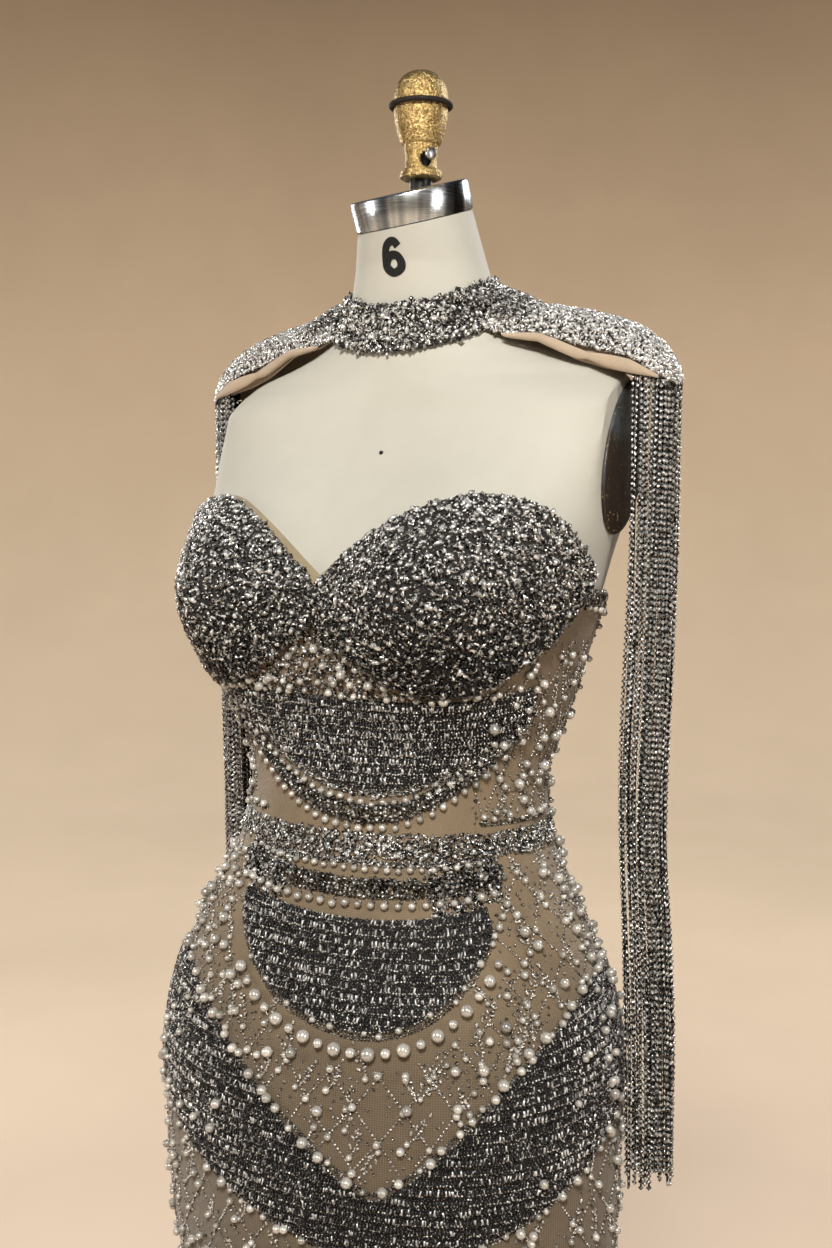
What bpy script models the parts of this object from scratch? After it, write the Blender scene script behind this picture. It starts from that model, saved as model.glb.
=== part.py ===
"""Beaded evening gown on a limbless dress form, with its stand.

Metres, +Z up. The form faces -Y, the wearer's left is +X, and the origin is on
the floor under the middle of the stand. Every piece of cloth is a closed wall
worked out from one figure: a stack of rounded sections with a bust, on which a
place is given by t, the angle in degrees round the figure from centre front
towards the wearer's left, and z, the height.
"""

import math

import bmesh
import bpy
import numpy as np
from mathutils import Matrix, Vector

# Driving sizes -----------------------------------------------------------------
STEP = 9.0              # degrees between two columns of every wall
GAP = 0.0003            # space between two pieces that touch
SEAM = 0.09             # half a seam between two panels, in degrees
FORM_BOTTOM = 0.700
NECK_TOP = 1.474        # the last level section of the form
WAIST = 1.0615          # waist seam of the gown
HEM = 0.012

CLOTH_IN, CLOTH_OUT = 0.0014, 0.0028     # net cloth, measured out from the figure
LAID_IN, LAID_OUT = 0.0038, 0.0062       # bead panels that lie on the net
BAND_OUT = 0.0066
SWAG_OUT = 0.0088
CUP_IN, CUP_OUT = 0.0046, 0.0098
FACING_IN, FACING_OUT = 0.0011, 0.0026
COLLAR_IN, COLLAR_OUT = 0.0009, 0.0062
FORM_UNDER = 0.0005      # the form lies this far inside the figure

ARM_FLAT = 0.162        # the form's sides are cut flat here, where arms would start
PLATE_CENTRE = (0.006, 1.332)            # y and z
PLATE_HALF = (0.033, 0.060)              # half depth and half height
PLATE_TILT = math.radians(28)            # its top leans back
PLATE_THICK = 0.003

# Figure sections: height, half width, front y, back y, roundness (2 is an ellipse)
SECTIONS = (
    (0.012, 0.2500, -0.262, 0.222, 2.0),
    (0.100, 0.2200, -0.232, 0.188, 2.0),
    (0.200, 0.1900, -0.203, 0.150, 2.0),
    (0.300, 0.1660, -0.178, 0.112, 2.0),
    (0.400, 0.1560, -0.162, 0.078, 2.05),
    (0.500, 0.1580, -0.157, 0.062, 2.1),
    (0.600, 0.1640, -0.156, 0.060, 2.15),
    (0.700, 0.1700, -0.158, 0.062, 2.15),
    (0.780, 0.1745, -0.170, 0.069, 2.15),
    (0.840, 0.1765, -0.174, 0.072, 2.15),
    (0.880, 0.1770, -0.174, 0.073, 2.15),
    (0.920, 0.1735, -0.170, 0.072, 2.15),
    (0.950, 0.1665, -0.164, 0.070, 2.15),
    (0.975, 0.1575, -0.157, 0.067, 2.1),
    (1.000, 0.1465, -0.149, 0.062, 2.1),
    (1.025, 0.1325, -0.140, 0.057, 2.1),
    (1.050, 0.1200, -0.130, 0.0535, 2.1),
    (1.075, 0.1135, -0.1225, 0.0525, 2.1),
    (1.100, 0.1125, -0.1185, 0.0535, 2.1),
    (1.125, 0.1180, -0.1190, 0.0570, 2.1),
    (1.150, 0.1275, -0.124, 0.062, 2.15),
    (1.190, 0.1410, -0.135, 0.069, 2.2),
    (1.225, 0.1510, -0.138, 0.074, 2.25),
    (1.260, 0.1580, -0.128, 0.077, 2.4),
    (1.300, 0.1660, -0.098, 0.078, 2.7),
    (1.340, 0.1745, -0.066, 0.077, 3.0),
    (1.365, 0.1765, -0.053, 0.073, 3.0),
    (1.380, 0.1690, -0.049, 0.070, 2.4),
    (1.392, 0.1600, -0.046, 0.067, 1.7),
    (1.406, 0.1200, -0.043, 0.063, 1.65),
    (1.419, 0.0900, -0.041, 0.059, 1.65),
    (1.431, 0.0730, -0.041, 0.056, 1.8),
    (1.442, 0.0640, -0.041, 0.053, 2.0),
    (1.456, 0.0575, -0.042, 0.051, 2.0),
    (1.474, 0.0520, -0.044, 0.047, 2.0),
)
# Bust: place of each mound, its height over the section, its spread
BUST_X, BUST_Z, BUST_WIDE, BUST_TALL = 0.085, 1.238, 0.052, 0.060
FORM_BUST, GOWN_BUST = 0.033, 0.040

# Neck cap: centre of its underside, the way it leans, its size
CAP_SEAT = Vector((0.0, -0.009, 1.5085))
CAP_LEAN = Vector((-0.07, -0.295, 0.953)).normalized()
NECK_RADIUS, CAP_RADIUS, CAP_TALL = 0.0435, 0.0445, 0.022

BASE_RADIUS = 0.190
POLE_RADIUS = 0.0125
POLE_FOOT = 0.0450
FLANGE_RADIUS, FLANGE_TALL = 0.052, 0.008   # the plate that carries the form

# Shoulder caps, one row a station: x, ridge z, front y, front z, back y, back z, lining's drop
CAP_STATIONS = (
    (0.0710, 1.4485, -0.0225, 1.4240, 0.0440, 1.4255, -0.0011),
    (0.0860, 1.4455, -0.0210, 1.4195, 0.0440, 1.4200, 0.0010),
    (0.1080, 1.4425, -0.0185, 1.4185, 0.0430, 1.4170, 0.0040),
    (0.1340, 1.4370, -0.0150, 1.4098, 0.0410, 1.4100, 0.0105),
    (0.1550, 1.4310, -0.0120, 1.4044, 0.0385, 1.4040, 0.0120),
    (0.1730, 1.4230, -0.0095, 1.3985, 0.0355, 1.3970, 0.0100),
    (0.1870, 1.4125, -0.0060, 1.3890, 0.0310, 1.3900, 0.0020),
    (0.1970, 1.4000, 0.0005, 1.3835, 0.0245, 1.3840, 0.0000),
    (0.2025, 1.3880, 0.0080, 1.3810, 0.0160, 1.3810, 0.0000),
)
CAP_WALL = 0.0040
LINING_FROM, LINING_TO = 0.0044, 0.0062
LINING_REACH = 0.80     # share of the cap's length that is lined
CAP_COLUMNS, CAP_ROWS = 10, 8
NECK_Y = 0.008          # the caps' inner ends curve round the collar about here
NECK_CURL = 6.5

# Shoulder fringes: roots under the rim of each cap's rounded end, from this station outwards
RIM_FROM = 5
RIM_INSET = 0.0020
ROOT_TALL, ROOT_THICK, ROOT_DROP = 0.005, 0.0026, 0.0012
STRANDS = 20
STRAND_WIDE = 0.0026
FRINGE_END = 0.815
# How a strand strays on its way down, past the front of the left hip and the back of the right:
# share of its length, left outwards, left forwards, right outwards, right forwards
STRAY = (
    (0.00, 0.0000, 0.0000, 0.0000, 0.0000),
    (0.32, -0.0010, 0.0060, -0.0010, -0.0020),
    (0.56, -0.0020, 0.0170, -0.0010, -0.0060),
    (0.80, 0.0125, 0.0340, 0.0015, -0.0125),
    (1.00, 0.0140, 0.0360, 0.0020, -0.0140),
)

COLOURS = {
    "linen": ((0.80, 0.75, 0.64), 0.65, 0.0),
    "armhole": ((0.10, 0.07, 0.05), 0.45, 0.2),
    "chrome": ((0.62, 0.63, 0.65), 0.22, 1.0),
    "gold": ((0.60, 0.42, 0.16), 0.42, 1.0),
    "rubber": ((0.05, 0.03, 0.02), 0.60, 0.0),
    "black_metal": ((0.03, 0.03, 0.03), 0.40, 0.8),
    "steel": ((0.75, 0.75, 0.76), 0.30, 1.0),
    "iron": ((0.05, 0.05, 0.05), 0.50, 0.6),
    "net": ((0.42, 0.32, 0.23), 0.70, 0.0),
    "crystal": ((0.42, 0.42, 0.44), 0.20, 0.6),
    "bugle": ((0.10, 0.10, 0.11), 0.25, 0.5),
    "pearl": ((0.80, 0.76, 0.70), 0.20, 0.0),
    "lining": ((0.62, 0.47, 0.35), 0.70, 0.0),
}


# Figure --------------------------------------------------------------------------
def section_value(z, column):
    """Monotone cubic curve through one column of SECTIONS, read at the heights z."""
    table = np.array(SECTIONS)
    height, value = table[:, 0], table[:, column]
    width = np.diff(height)
    slope = np.diff(value) / width
    tangent = np.zeros_like(value)
    tangent[0], tangent[-1] = slope[0], slope[-1]
    before, after = slope[:-1], slope[1:]
    level = before * after <= 0
    first = 2 * width[1:] + width[:-1]
    second = width[1:] + 2 * width[:-1]
    safe_before = np.where(level, 1.0, before)
    safe_after = np.where(level, 1.0, after)
    mean = (first + second) / (first / safe_before + second / safe_after)
    tangent[1:-1] = np.where(level, 0.0, mean)
    z = np.clip(z, height[0], height[-1])
    i = np.clip(np.searchsorted(height, z, side="right") - 1, 0, len(width) - 1)
    s = (z - height[i]) / width[i]
    return (
        value[i] * (1 + 2 * s) * (1 - s) ** 2
        + tangent[i] * width[i] * s * (1 - s) ** 2
        + value[i + 1] * s * s * (3 - 2 * s)
        + tangent[i + 1] * width[i] * s * s * (s - 1)
    )


def figure(t, z, bust):
    """Points of the figure: a rounded section at each height, and two mounds in front."""
    t, z = np.broadcast_arrays(np.asarray(t, float), np.asarray(z, float))
    half, front, back, power = (section_value(z, column) for column in (1, 2, 3, 4))
    c, s = np.cos(np.radians(t)), np.sin(np.radians(t))
    x = half * np.sign(s) * np.abs(s) ** (2 / power)
    y = (front + back) / 2 - (back - front) / 2 * np.sign(c) * np.abs(c) ** (2 / power)
    across = (np.abs(x) - BUST_X) / BUST_WIDE
    up = (z - BUST_Z) / BUST_TALL
    mound = bust * np.exp(-(across**2) - up**2) * np.clip(c / 0.35, 0, 1)
    return np.stack([x, y - mound, z], -1)


def skin(t, z, proud, bust=GOWN_BUST):
    """Points that stand proud of the figure, out along its normal."""
    t, z = np.broadcast_arrays(np.asarray(t, float), np.asarray(z, float))
    along = figure(t + 0.5, z, bust) - figure(t - 0.5, z, bust)
    up = figure(t, z + 0.002, bust) - figure(t, z - 0.002, bust)
    normal = np.cross(along, up)
    normal /= np.linalg.norm(normal, axis=-1, keepdims=True)
    return figure(t, z, bust) + normal * np.asarray(proud)[..., None]


# Mesh helpers --------------------------------------------------------------------
def material(name):
    """A plain Principled material from the COLOURS table."""
    found = bpy.data.materials.get(name)
    if found:
        return found
    colour, rough, metal = COLOURS[name]
    made = bpy.data.materials.new(name)
    made.use_nodes = True
    shader = made.node_tree.nodes["Principled BSDF"]
    shader.inputs["Base Color"].default_value = (*colour, 1.0)
    shader.inputs["Roughness"].default_value = rough
    shader.inputs["Metallic"].default_value = metal
    return made


def add_object(name, bm, finish, smooth_under=40.0):
    """Turns a bmesh into a named object with outward faces and smooth shading."""
    bmesh.ops.recalc_face_normals(bm, faces=bm.faces)
    mesh = bpy.data.meshes.new(name)
    bm.to_mesh(mesh)
    bm.free()
    mesh.shade_smooth()
    mesh.set_sharp_from_angle(angle=math.radians(smooth_under))
    mesh.materials.append(material(finish))
    made = bpy.data.objects.new(name, mesh)
    bpy.context.scene.collection.objects.link(made)
    return made


def grid_verts(bm, points):
    return [[bm.verts.new(point) for point in row] for row in points]


def wall(name, outer, inner, finish, smooth_under=40.0):
    """A closed wall between two grids of points, rows upwards and columns along t."""
    bm = bmesh.new()
    out, ins = grid_verts(bm, outer), grid_verts(bm, inner)
    rows, columns = len(out) - 1, len(out[0]) - 1
    for r in range(rows):
        for c in range(columns):
            bm.faces.new((out[r][c], out[r][c + 1], out[r + 1][c + 1], out[r + 1][c]))
            bm.faces.new((ins[r + 1][c], ins[r + 1][c + 1], ins[r][c + 1], ins[r][c]))
    for c in range(columns):
        bm.faces.new((out[0][c], ins[0][c], ins[0][c + 1], out[0][c + 1]))
        bm.faces.new((out[-1][c + 1], ins[-1][c + 1], ins[-1][c], out[-1][c]))
    for r in range(rows):
        bm.faces.new((out[r][0], out[r + 1][0], ins[r + 1][0], ins[r][0]))
        bm.faces.new((out[r + 1][-1], out[r][-1], ins[r][-1], ins[r + 1][-1]))
    return add_object(name, bm, finish, smooth_under)


def lathe(name, profile, finish, sides=32, smooth_under=40.0):
    """A turned piece about +Z from (radius, z) points, upwards; radius 0 closes an end."""
    bm = bmesh.new()
    rings = []
    for radius, z in profile:
        if radius == 0:
            rings.append([bm.verts.new((0, 0, z))])
            continue
        turns = [2 * math.pi * i / sides for i in range(sides)]
        rings.append([bm.verts.new((radius * math.cos(a), radius * math.sin(a), z)) for a in turns])
    join_rings(bm, rings)
    return add_object(name, bm, finish, smooth_under)


def join_rings(bm, rings):
    """Skins a stack of rings; an end ring of one point is a pole, any other gets a cap."""
    for low, high in zip(rings, rings[1:]):
        count = max(len(low), len(high))
        for i in range(count):
            j = (i + 1) % count
            if len(low) == 1:
                bm.faces.new((low[0], high[j], high[i]))
            elif len(high) == 1:
                bm.faces.new((low[i], low[j], high[0]))
            else:
                bm.faces.new((low[i], low[j], high[j], high[i]))
    if len(rings[0]) > 1:
        bm.faces.new(rings[0][::-1])
    if len(rings[-1]) > 1:
        bm.faces.new(rings[-1])


def columns_between(first, last):
    """Columns every STEP degrees, with half a seam taken off at both ends."""
    t = np.arange(first, last + STEP / 2, STEP)
    t[0] += SEAM
    t[-1] -= SEAM
    return t


def rows_between(low, high, count, crowd=1.0):
    """A grid of heights from low(t) to high(t) in count steps; crowd above 1 makes the low ones short."""
    share = np.linspace(0, 1, count + 1)[:, None] ** crowd
    return low[None, :] * (1 - share) + high[None, :] * share


def laid_panel(name, t, low, high, count, inside, outside, finish, crowd=1.0):
    """A wall over the columns t between two edge heights, lying on the figure."""
    z = rows_between(low, high, count, crowd)
    grid_t = np.broadcast_to(t, z.shape)
    return wall(name, skin(grid_t, z, np.full(z.shape, outside)),
                skin(grid_t, z, np.full(z.shape, inside)), finish)


def tilted_ring(centre, lean, radius, count):
    """A circle square to lean, whose points start in front and run towards +X."""
    right = Vector((1, 0, 0)) - lean * lean.x
    right.normalize()
    ahead = lean.cross(right).normalized()
    turns = [2 * math.pi * i / count for i in range(count)]
    return [centre + right * (radius * math.sin(a)) - ahead * (radius * math.cos(a)) for a in turns]


def fuse_with(owner, helpers, operation):
    """Adds a Boolean for each helper, and takes the helpers out of the model."""
    for helper in helpers:
        helper.hide_render = True
        helper.display_type = "WIRE"
        step = owner.modifiers.new(helper.name, "BOOLEAN")
        step.operation = operation
        step.object = helper


# Dress form ----------------------------------------------------------------------
def form_levels():
    """Heights of the form's rings: close at the waist, where cloth lies tight on it."""
    lower = np.arange(FORM_BOTTOM, 0.93, 0.075)
    waist = np.concatenate([np.arange(0.955, 1.04, 0.027), np.arange(1.05, 1.16, 0.0175), (1.18, 1.205)])
    chest = (1.235, 1.26, 1.28, 1.30, 1.325, 1.355, 1.38, 1.392)
    shoulder = (1.400, 1.408, 1.416, 1.424, 1.432, 1.441, 1.455, NECK_TOP)
    return np.concatenate([lower, waist, chest, shoulder])


def build_torso():
    count = int(360 / STEP)
    t = np.arange(count) * STEP
    bm = bmesh.new()
    rings = []
    for z in form_levels():
        points = skin(t, z, np.full(count, -FORM_UNDER), FORM_BUST)
        points[:, 0] = np.clip(points[:, 0], -ARM_FLAT, ARM_FLAT)
        rings.append([bm.verts.new(point) for point in points])
    top = tilted_ring(CAP_SEAT, CAP_LEAN, NECK_RADIUS, count)
    last = [vert.co.copy() for vert in rings[-1]]
    middle = [low.lerp(high, 0.5) for low, high in zip(last, top)]
    rings.append([bm.verts.new(point) for point in middle])
    rings.append([bm.verts.new(point) for point in top])
    join_rings(bm, rings)
    add_object("form_torso", bm, "linen")


def build_arm_plates():
    sides = 20
    for name, sign in (("left", 1), ("right", -1)):
        bm = bmesh.new()
        near = ARM_FLAT + GAP
        rings = []
        for x, share in ((near, 1.0), (near + PLATE_THICK * 0.6, 1.0), (near + PLATE_THICK, 0.95)):
            ring = []
            for i in range(sides):
                a = 2 * math.pi * i / sides
                deep, tall = PLATE_HALF[0] * share * math.cos(a), PLATE_HALF[1] * share * math.sin(a)
                y = PLATE_CENTRE[0] + deep * math.cos(PLATE_TILT) + tall * math.sin(PLATE_TILT)
                z = PLATE_CENTRE[1] - deep * math.sin(PLATE_TILT) + tall * math.cos(PLATE_TILT)
                ring.append(bm.verts.new((sign * x, y, z)))
            rings.append(ring)
        join_rings(bm, rings)
        add_object("arm_plate_" + name, bm, "armhole")


def build_neck_cap():
    sides = 32
    profile = ((0.0, 0.96), (0.06, 1.0), (0.94, 1.0), (1.0, 0.97))
    bm = bmesh.new()
    rings = []
    for share, wide in profile:
        centre = CAP_SEAT + CAP_LEAN * (GAP + CAP_TALL * share)
        ring = tilted_ring(centre, CAP_LEAN, CAP_RADIUS * wide, sides)
        rings.append([bm.verts.new(point) for point in ring])
    join_rings(bm, rings)
    add_object("neck_cap", bm, "chrome", 30.0)


def build_cap_post(top):
    """Short upright post whose foot is cut to the leaning cap."""
    sides, radius = 20, 0.0085
    seat = CAP_SEAT + CAP_LEAN * (CAP_TALL + 2.5 * GAP)
    bm = bmesh.new()
    turns = [2 * math.pi * i / sides for i in range(sides)]
    foot, head = [], []
    for a in turns:
        x, y = radius * math.cos(a), radius * math.sin(a)
        drop = (CAP_LEAN.x * (x - seat.x) + CAP_LEAN.y * (y - seat.y)) / CAP_LEAN.z
        foot.append(bm.verts.new((x, y, seat.z - drop)))
        head.append(bm.verts.new((x, y, top)))
    join_rings(bm, [foot, head])
    add_object("cap_post", bm, "black_metal")


def build_finial():
    """Turned knob in two halves of one piece, a band in its groove and a set screw."""
    foot = 1.5405
    profile = [
        (0.0130, foot), (0.0152, foot + 0.0015), (0.0158, foot + 0.0050), (0.0150, foot + 0.0080),
        (0.0125, foot + 0.0100), (0.0118, foot + 0.0135), (0.0120, foot + 0.0200), (0.0128, foot + 0.0255),
        (0.0150, foot + 0.0275), (0.0180, foot + 0.0345), (0.0197, foot + 0.0430), (0.0203, foot + 0.0500),
        (0.0200, foot + 0.0520), (0.0200, foot + 0.0560),
    ]
    dome_foot, dome_tall, dome_radius = foot + 0.0580, 0.0215, 0.0203
    for i in range(6):
        turn = math.pi / 2 * i / 6
        profile.append((dome_radius * math.cos(turn) ** 0.8, dome_foot + dome_tall * math.sin(turn)))
    profile.append((0, dome_foot + dome_tall))
    lathe("finial", profile, "gold", 20)

    band_z, band_radius, band_half = foot + 0.0540, 0.0222, 0.0019
    bm = bmesh.new()
    sides, around = 24, 5
    rings = []
    for i in range(sides):
        a = 2 * math.pi * i / sides
        ring = []
        for j in range(around):
            b = 2 * math.pi * j / around
            radius = band_radius + band_half * math.cos(b)
            ring.append(bm.verts.new((radius * math.cos(a), radius * math.sin(a), band_z + band_half * math.sin(b))))
        rings.append(ring)
    for i in range(sides):
        for j in range(around):
            k, n = (i + 1) % sides, (j + 1) % around
            bm.faces.new((rings[i][j], rings[k][j], rings[k][n], rings[i][n]))
    add_object("finial_band", bm, "rubber")

    # The screw's head points between the front and the wearer's left.
    screw = lathe("finial_screw", ((0.0044, 0.0), (0.0046, 0.0012), (0.0040, 0.0030), (0, 0.0034)), "steel", 16)
    screw.matrix_world = (
        Matrix.Translation((0, 0, foot + 0.0168))
        @ Matrix.Rotation(math.radians(-28), 4, "Z")
        @ Matrix.Rotation(math.radians(90), 4, "Y")
        @ Matrix.Translation((0, 0, 0.0127))
    )
    return foot


def build_stand():
    lathe("stand_base", (
        (BASE_RADIUS - 0.004, 0.0), (BASE_RADIUS, 0.003), (BASE_RADIUS, 0.009), (BASE_RADIUS - 0.006, 0.013),
        (0.110, 0.019), (0.045, 0.026), (0.026, 0.034), (0.022, POLE_FOOT),
    ), "iron", 32)
    flange_foot = FORM_BOTTOM - FLANGE_TALL
    lathe("stand_pole", (
        (POLE_RADIUS, POLE_FOOT + GAP), (POLE_RADIUS, flange_foot - GAP),
    ), "black_metal", 16)
    lathe("stand_flange", (
        (FLANGE_RADIUS, flange_foot), (FLANGE_RADIUS, FORM_BOTTOM - GAP),
    ), "black_metal", 24)


# Gown: bodice --------------------------------------------------------------------
def cup_top(t):
    """Upper edge of a cup: from the dip between the cups to its crown and down to the side."""
    t = np.abs(t)
    inner = 1.299 - 0.052 * ((t - 33) / 31) ** 2
    outer = 1.299 - 0.057 * ((t - 33) / 57) ** 2
    return np.where(t < 33, inner, outer)


def cup_foot(t):
    """Lower edge of a cup, lowest under its middle."""
    t = np.abs(t)
    inner = 1.175 + 0.034 * ((t - 40) / 36) ** 2
    outer = 1.175 + 0.052 * ((t - 40) / 40) ** 2
    return np.where(t < 40, inner, outer)


def bodice_top(t):
    """Upper edge of the net bodice: under the cups, over the sides, then down to the zip."""
    t = np.abs(t)
    side, back = 1.240, 1.190
    behind = side + (back - side) * (1 - np.cos(np.pi * np.clip((t - 90) / 90, 0, 1))) / 2
    return np.where(t < 85, cup_foot(t) - 2 * GAP, behind)


def build_bodice():
    panels = (
        ("front", -54.0, 54.0), ("side_left", 54.0, 99.0), ("side_right", -99.0, -54.0),
        ("back_left", 99.0, 180.0), ("back_right", -180.0, -99.0),
    )
    for name, first, last in panels:
        t = columns_between(first, last)
        foot = np.full(t.shape, WAIST + GAP / 2)
        laid_panel("bodice_" + name, t, foot, bodice_top(t), 8, CLOTH_IN, CLOTH_OUT, "net", 1.35)


def build_cups():
    for name, sign in (("left", 1), ("right", -1)):
        t = np.append(np.arange(0, 82, STEP), 85.0)
        z = rows_between(cup_foot(t), cup_top(t), 7)
        grid_t = np.broadcast_to(t, z.shape)
        outer = skin(grid_t, z, np.full(z.shape, CUP_OUT))
        inner = skin(grid_t, z, np.full(z.shape, CUP_IN))
        for points in (outer, inner):
            points[:, 0, 0] = GAP
            points[..., 0] *= sign
        if sign < 0:
            outer, inner = outer[:, ::-1], inner[:, ::-1]
        wall("cup_" + name, outer, inner, "crystal")

        t = np.arange(0, 46, STEP)
        shows = 0.005 * (1 - t / 60)
        z = rows_between(cup_top(t) - 0.012, cup_top(t) + shows, 2)
        grid_t = np.broadcast_to(t, z.shape)
        outer = skin(grid_t, z, np.full(z.shape, FACING_OUT))
        inner = skin(grid_t, z, np.full(z.shape, FACING_IN))
        for points in (outer, inner):
            points[:, 0, 0] = GAP
            points[..., 0] *= sign
        if sign < 0:
            outer, inner = outer[:, ::-1], inner[:, ::-1]
        wall("facing_" + name, outer, inner, "lining")


# Gown: skirt ---------------------------------------------------------------------
def skirt_levels():
    """Heights of the skirt's rows, hem to waist, close where it bends most."""
    flare = (HEM, 0.10, 0.20, 0.31, 0.44, 0.58)
    hip = np.arange(0.70, 0.91, 0.0375)
    waist = np.arange(0.9125, 1.05, 0.025)
    return np.concatenate([flare, hip, waist, [WAIST - GAP / 2]])


def build_skirt():
    waves, wave_deep, wave_from = 8, 0.007, 0.36
    levels = skirt_levels()
    for name, first, last in (("front", -90.0, 90.0), ("back_left", 90.0, 180.0), ("back_right", -180.0, -90.0)):
        t = columns_between(first, last)
        z, grid_t = np.broadcast_arrays(levels[:, None], t[None, :])
        growth = np.clip((wave_from - z) / wave_from, 0, 1) ** 1.5
        flute = wave_deep * growth * np.cos(np.radians(waves * grid_t))
        wall("skirt_" + name, skin(grid_t, z, CLOTH_OUT + flute), skin(grid_t, z, CLOTH_IN + flute), "net")


# Gown: beadwork that lies on the net ------------------------------------------------
def drift(t, by):
    """Angle from the middle of a motif that lies turned towards the wearer's left."""
    return np.abs(t - by)


def build_bead_panels():
    t = np.arange(-45, 73, STEP)
    off = drift(t, 14)
    laid_panel("midriff_panel", t, 1.102 + 0.056 * (off / 55) ** 2, 1.166 + 0.003 * (off / 40) ** 2,
               3, LAID_IN + GAP, LAID_OUT, "bugle")

    t = np.arange(-27, 55, STEP)
    off = drift(t, 14)
    laid_panel("belly_panel", t, 0.947 + 0.070 * (off / 42) ** 2, 1.016 + 0.010 * (off / 42) ** 2,
               4, LAID_IN, LAID_OUT, "bugle")

    t = np.arange(-63, 118, STEP)
    off = drift(t, 18)
    high = 0.838 + 0.137 * (1 - np.exp(-((off / 38) ** 1.5)))
    laid_panel("hip_panel", t, 0.793 + 0.085 * (off / 75) ** 1.4, high, 5, LAID_IN, LAID_OUT, "bugle")


def ridge(name, t, middle, half_tall, peak, finish, rows=(-1.0, -0.5, 0.5, 1.0)):
    """A rounded raised strip along middle(t); peak is how proud its crest stands at each column."""
    share = np.array(rows)[:, None]
    z = middle[None, :] + share * half_tall
    grid_t = np.broadcast_to(t, z.shape)
    crown = np.sqrt(1 - share**2 * 0.98)
    outside = LAID_IN + 0.0012 + (peak[None, :] - LAID_IN - 0.0012) * crown
    wall(name, skin(grid_t, z, outside), skin(grid_t, z, np.full(z.shape, LAID_IN)), finish, 60.0)


def build_swags():
    t = np.arange(-45, 73, STEP)
    off = drift(t, 12)
    ridge("midriff_swag", t, 1.085 + 0.072 * (off / 60) ** 2, 0.006, np.full(t.shape, SWAG_OUT), "crystal")

    t = np.arange(-36, 64, STEP)
    off = drift(t, 12)
    ridge("waist_swag", t, 1.036 + 0.008 * (off / 48) ** 2, 0.0052, np.full(t.shape, SWAG_OUT), "crystal")

    # Large pearls: three columns to each, so that the strip's crest rises over every bead.
    pearls, per_pearl = 17, 3
    t = np.linspace(-20, 54, pearls * per_pearl + 1)
    off = drift(t, 14)
    beads = np.abs(np.sin(np.pi * np.arange(len(t)) / per_pearl))
    ridge("pearl_chain", t, 0.934 + 0.066 * (off / 42) ** 2, 0.0048,
          LAID_IN + 0.0040 + 0.0058 * beads, "pearl", (-1.0, 0.0, 1.0))

    t = np.arange(-171, 172, STEP)
    low = np.full(t.shape, WAIST - 0.006)
    laid_panel("waist_band", t, low, low + 0.012, 1, LAID_IN, BAND_OUT, "crystal")


# Gown: collar, shoulder caps and fringes ---------------------------------------------
def build_collar():
    t = np.arange(-180, 181, STEP)
    t[0] += 0.5
    t[-1] -= 0.5
    front = (1 + np.cos(np.radians(t))) / 2
    low = 1.447 - 0.043 * front**4
    high = 1.468 - 0.025 * front**2
    z = rows_between(low, high, 2)
    grid_t = np.broadcast_to(t, z.shape)
    outer = skin(grid_t, z, np.full(z.shape, COLLAR_OUT), FORM_BUST)
    inner = skin(grid_t, z, np.full(z.shape, COLLAR_IN), FORM_BUST)
    wall("collar", outer, inner, "crystal")


def cap_surface(u, v, lined):
    """Shoulder cap for +X: arches over v from front (-1) to back (1) at the stations u."""
    table = np.array(CAP_STATIONS)
    knots = np.linspace(0, 1, len(table))
    x, ridge_z, front_y, front_z, back_y, back_z, drop = (np.interp(u, knots, column) for column in table.T)
    share = (1 + np.sin(np.pi / 2 * v)) / 2
    y = front_y * (1 - share) + back_y * share
    edge_z = front_z * (1 - share) + back_z * share - lined * drop * np.abs(v) ** 6
    z = edge_z + (ridge_z - edge_z) * np.cos(np.pi / 2 * v) ** 0.8
    return np.stack([x - NECK_CURL * (1 - u) ** 4 * (y - NECK_Y) ** 2, y, z], -1)


def cap_grid(inset, lined, reach):
    """Points of the shoulder cap moved in along its normal."""
    columns = round(CAP_COLUMNS * reach)
    u, v = np.meshgrid(np.linspace(0, reach, columns + 1), np.linspace(-1, 1, CAP_ROWS + 1))
    e = 0.02
    du = cap_surface(np.clip(u + e, 0, 1), v, lined) - cap_surface(np.clip(u - e, 0, 1), v, lined)
    dv = cap_surface(u, np.clip(v + e, -1, 1), lined) - cap_surface(u, np.clip(v - e, -1, 1), lined)
    normal = np.cross(du, dv)
    normal /= np.linalg.norm(normal, axis=-1, keepdims=True)
    return cap_surface(u, v, lined) - normal * inset


def build_shoulder_caps():
    for name, sign in (("left", 1), ("right", -1)):
        layers = (
            ("shoulder_cap_", cap_grid(0.0, 0, 1.0), cap_grid(CAP_WALL, 0, 1.0), "crystal"),
            ("shoulder_lining_", cap_grid(LINING_FROM, 1, LINING_REACH),
             cap_grid(LINING_TO, 1, LINING_REACH), "lining"),
        )
        for label, outer, inner, finish in layers:
            inner[(0, -1), :, 2] = outer[(0, -1), :, 2]
            if sign < 0:
                outer, inner = outer[:, ::-1] * (-1, 1, 1), inner[:, ::-1] * (-1, 1, 1)
            wall(label + name, outer, inner, finish)


def rim_points(count):
    """Even steps along the rim of the cap's rounded end for +X, front to back, moved in under the wall."""
    table = np.array(CAP_STATIONS)[RIM_FROM:]
    front, back = table[:, (0, 2, 3)], table[::-1][:, (0, 4, 5)]
    rim = np.concatenate([front, back])
    centre = np.array([table[0, 0] - 0.004, table[-1, (2, 4)].mean()])
    inward = centre - rim[:, :2]
    rim[:, :2] += inward / np.linalg.norm(inward, axis=1, keepdims=True) * RIM_INSET
    length = np.append(0, np.cumsum(np.linalg.norm(np.diff(rim, axis=0), axis=1)))
    return np.stack([np.interp(np.linspace(0, length[-1], count), length, column) for column in rim.T], -1)


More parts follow.
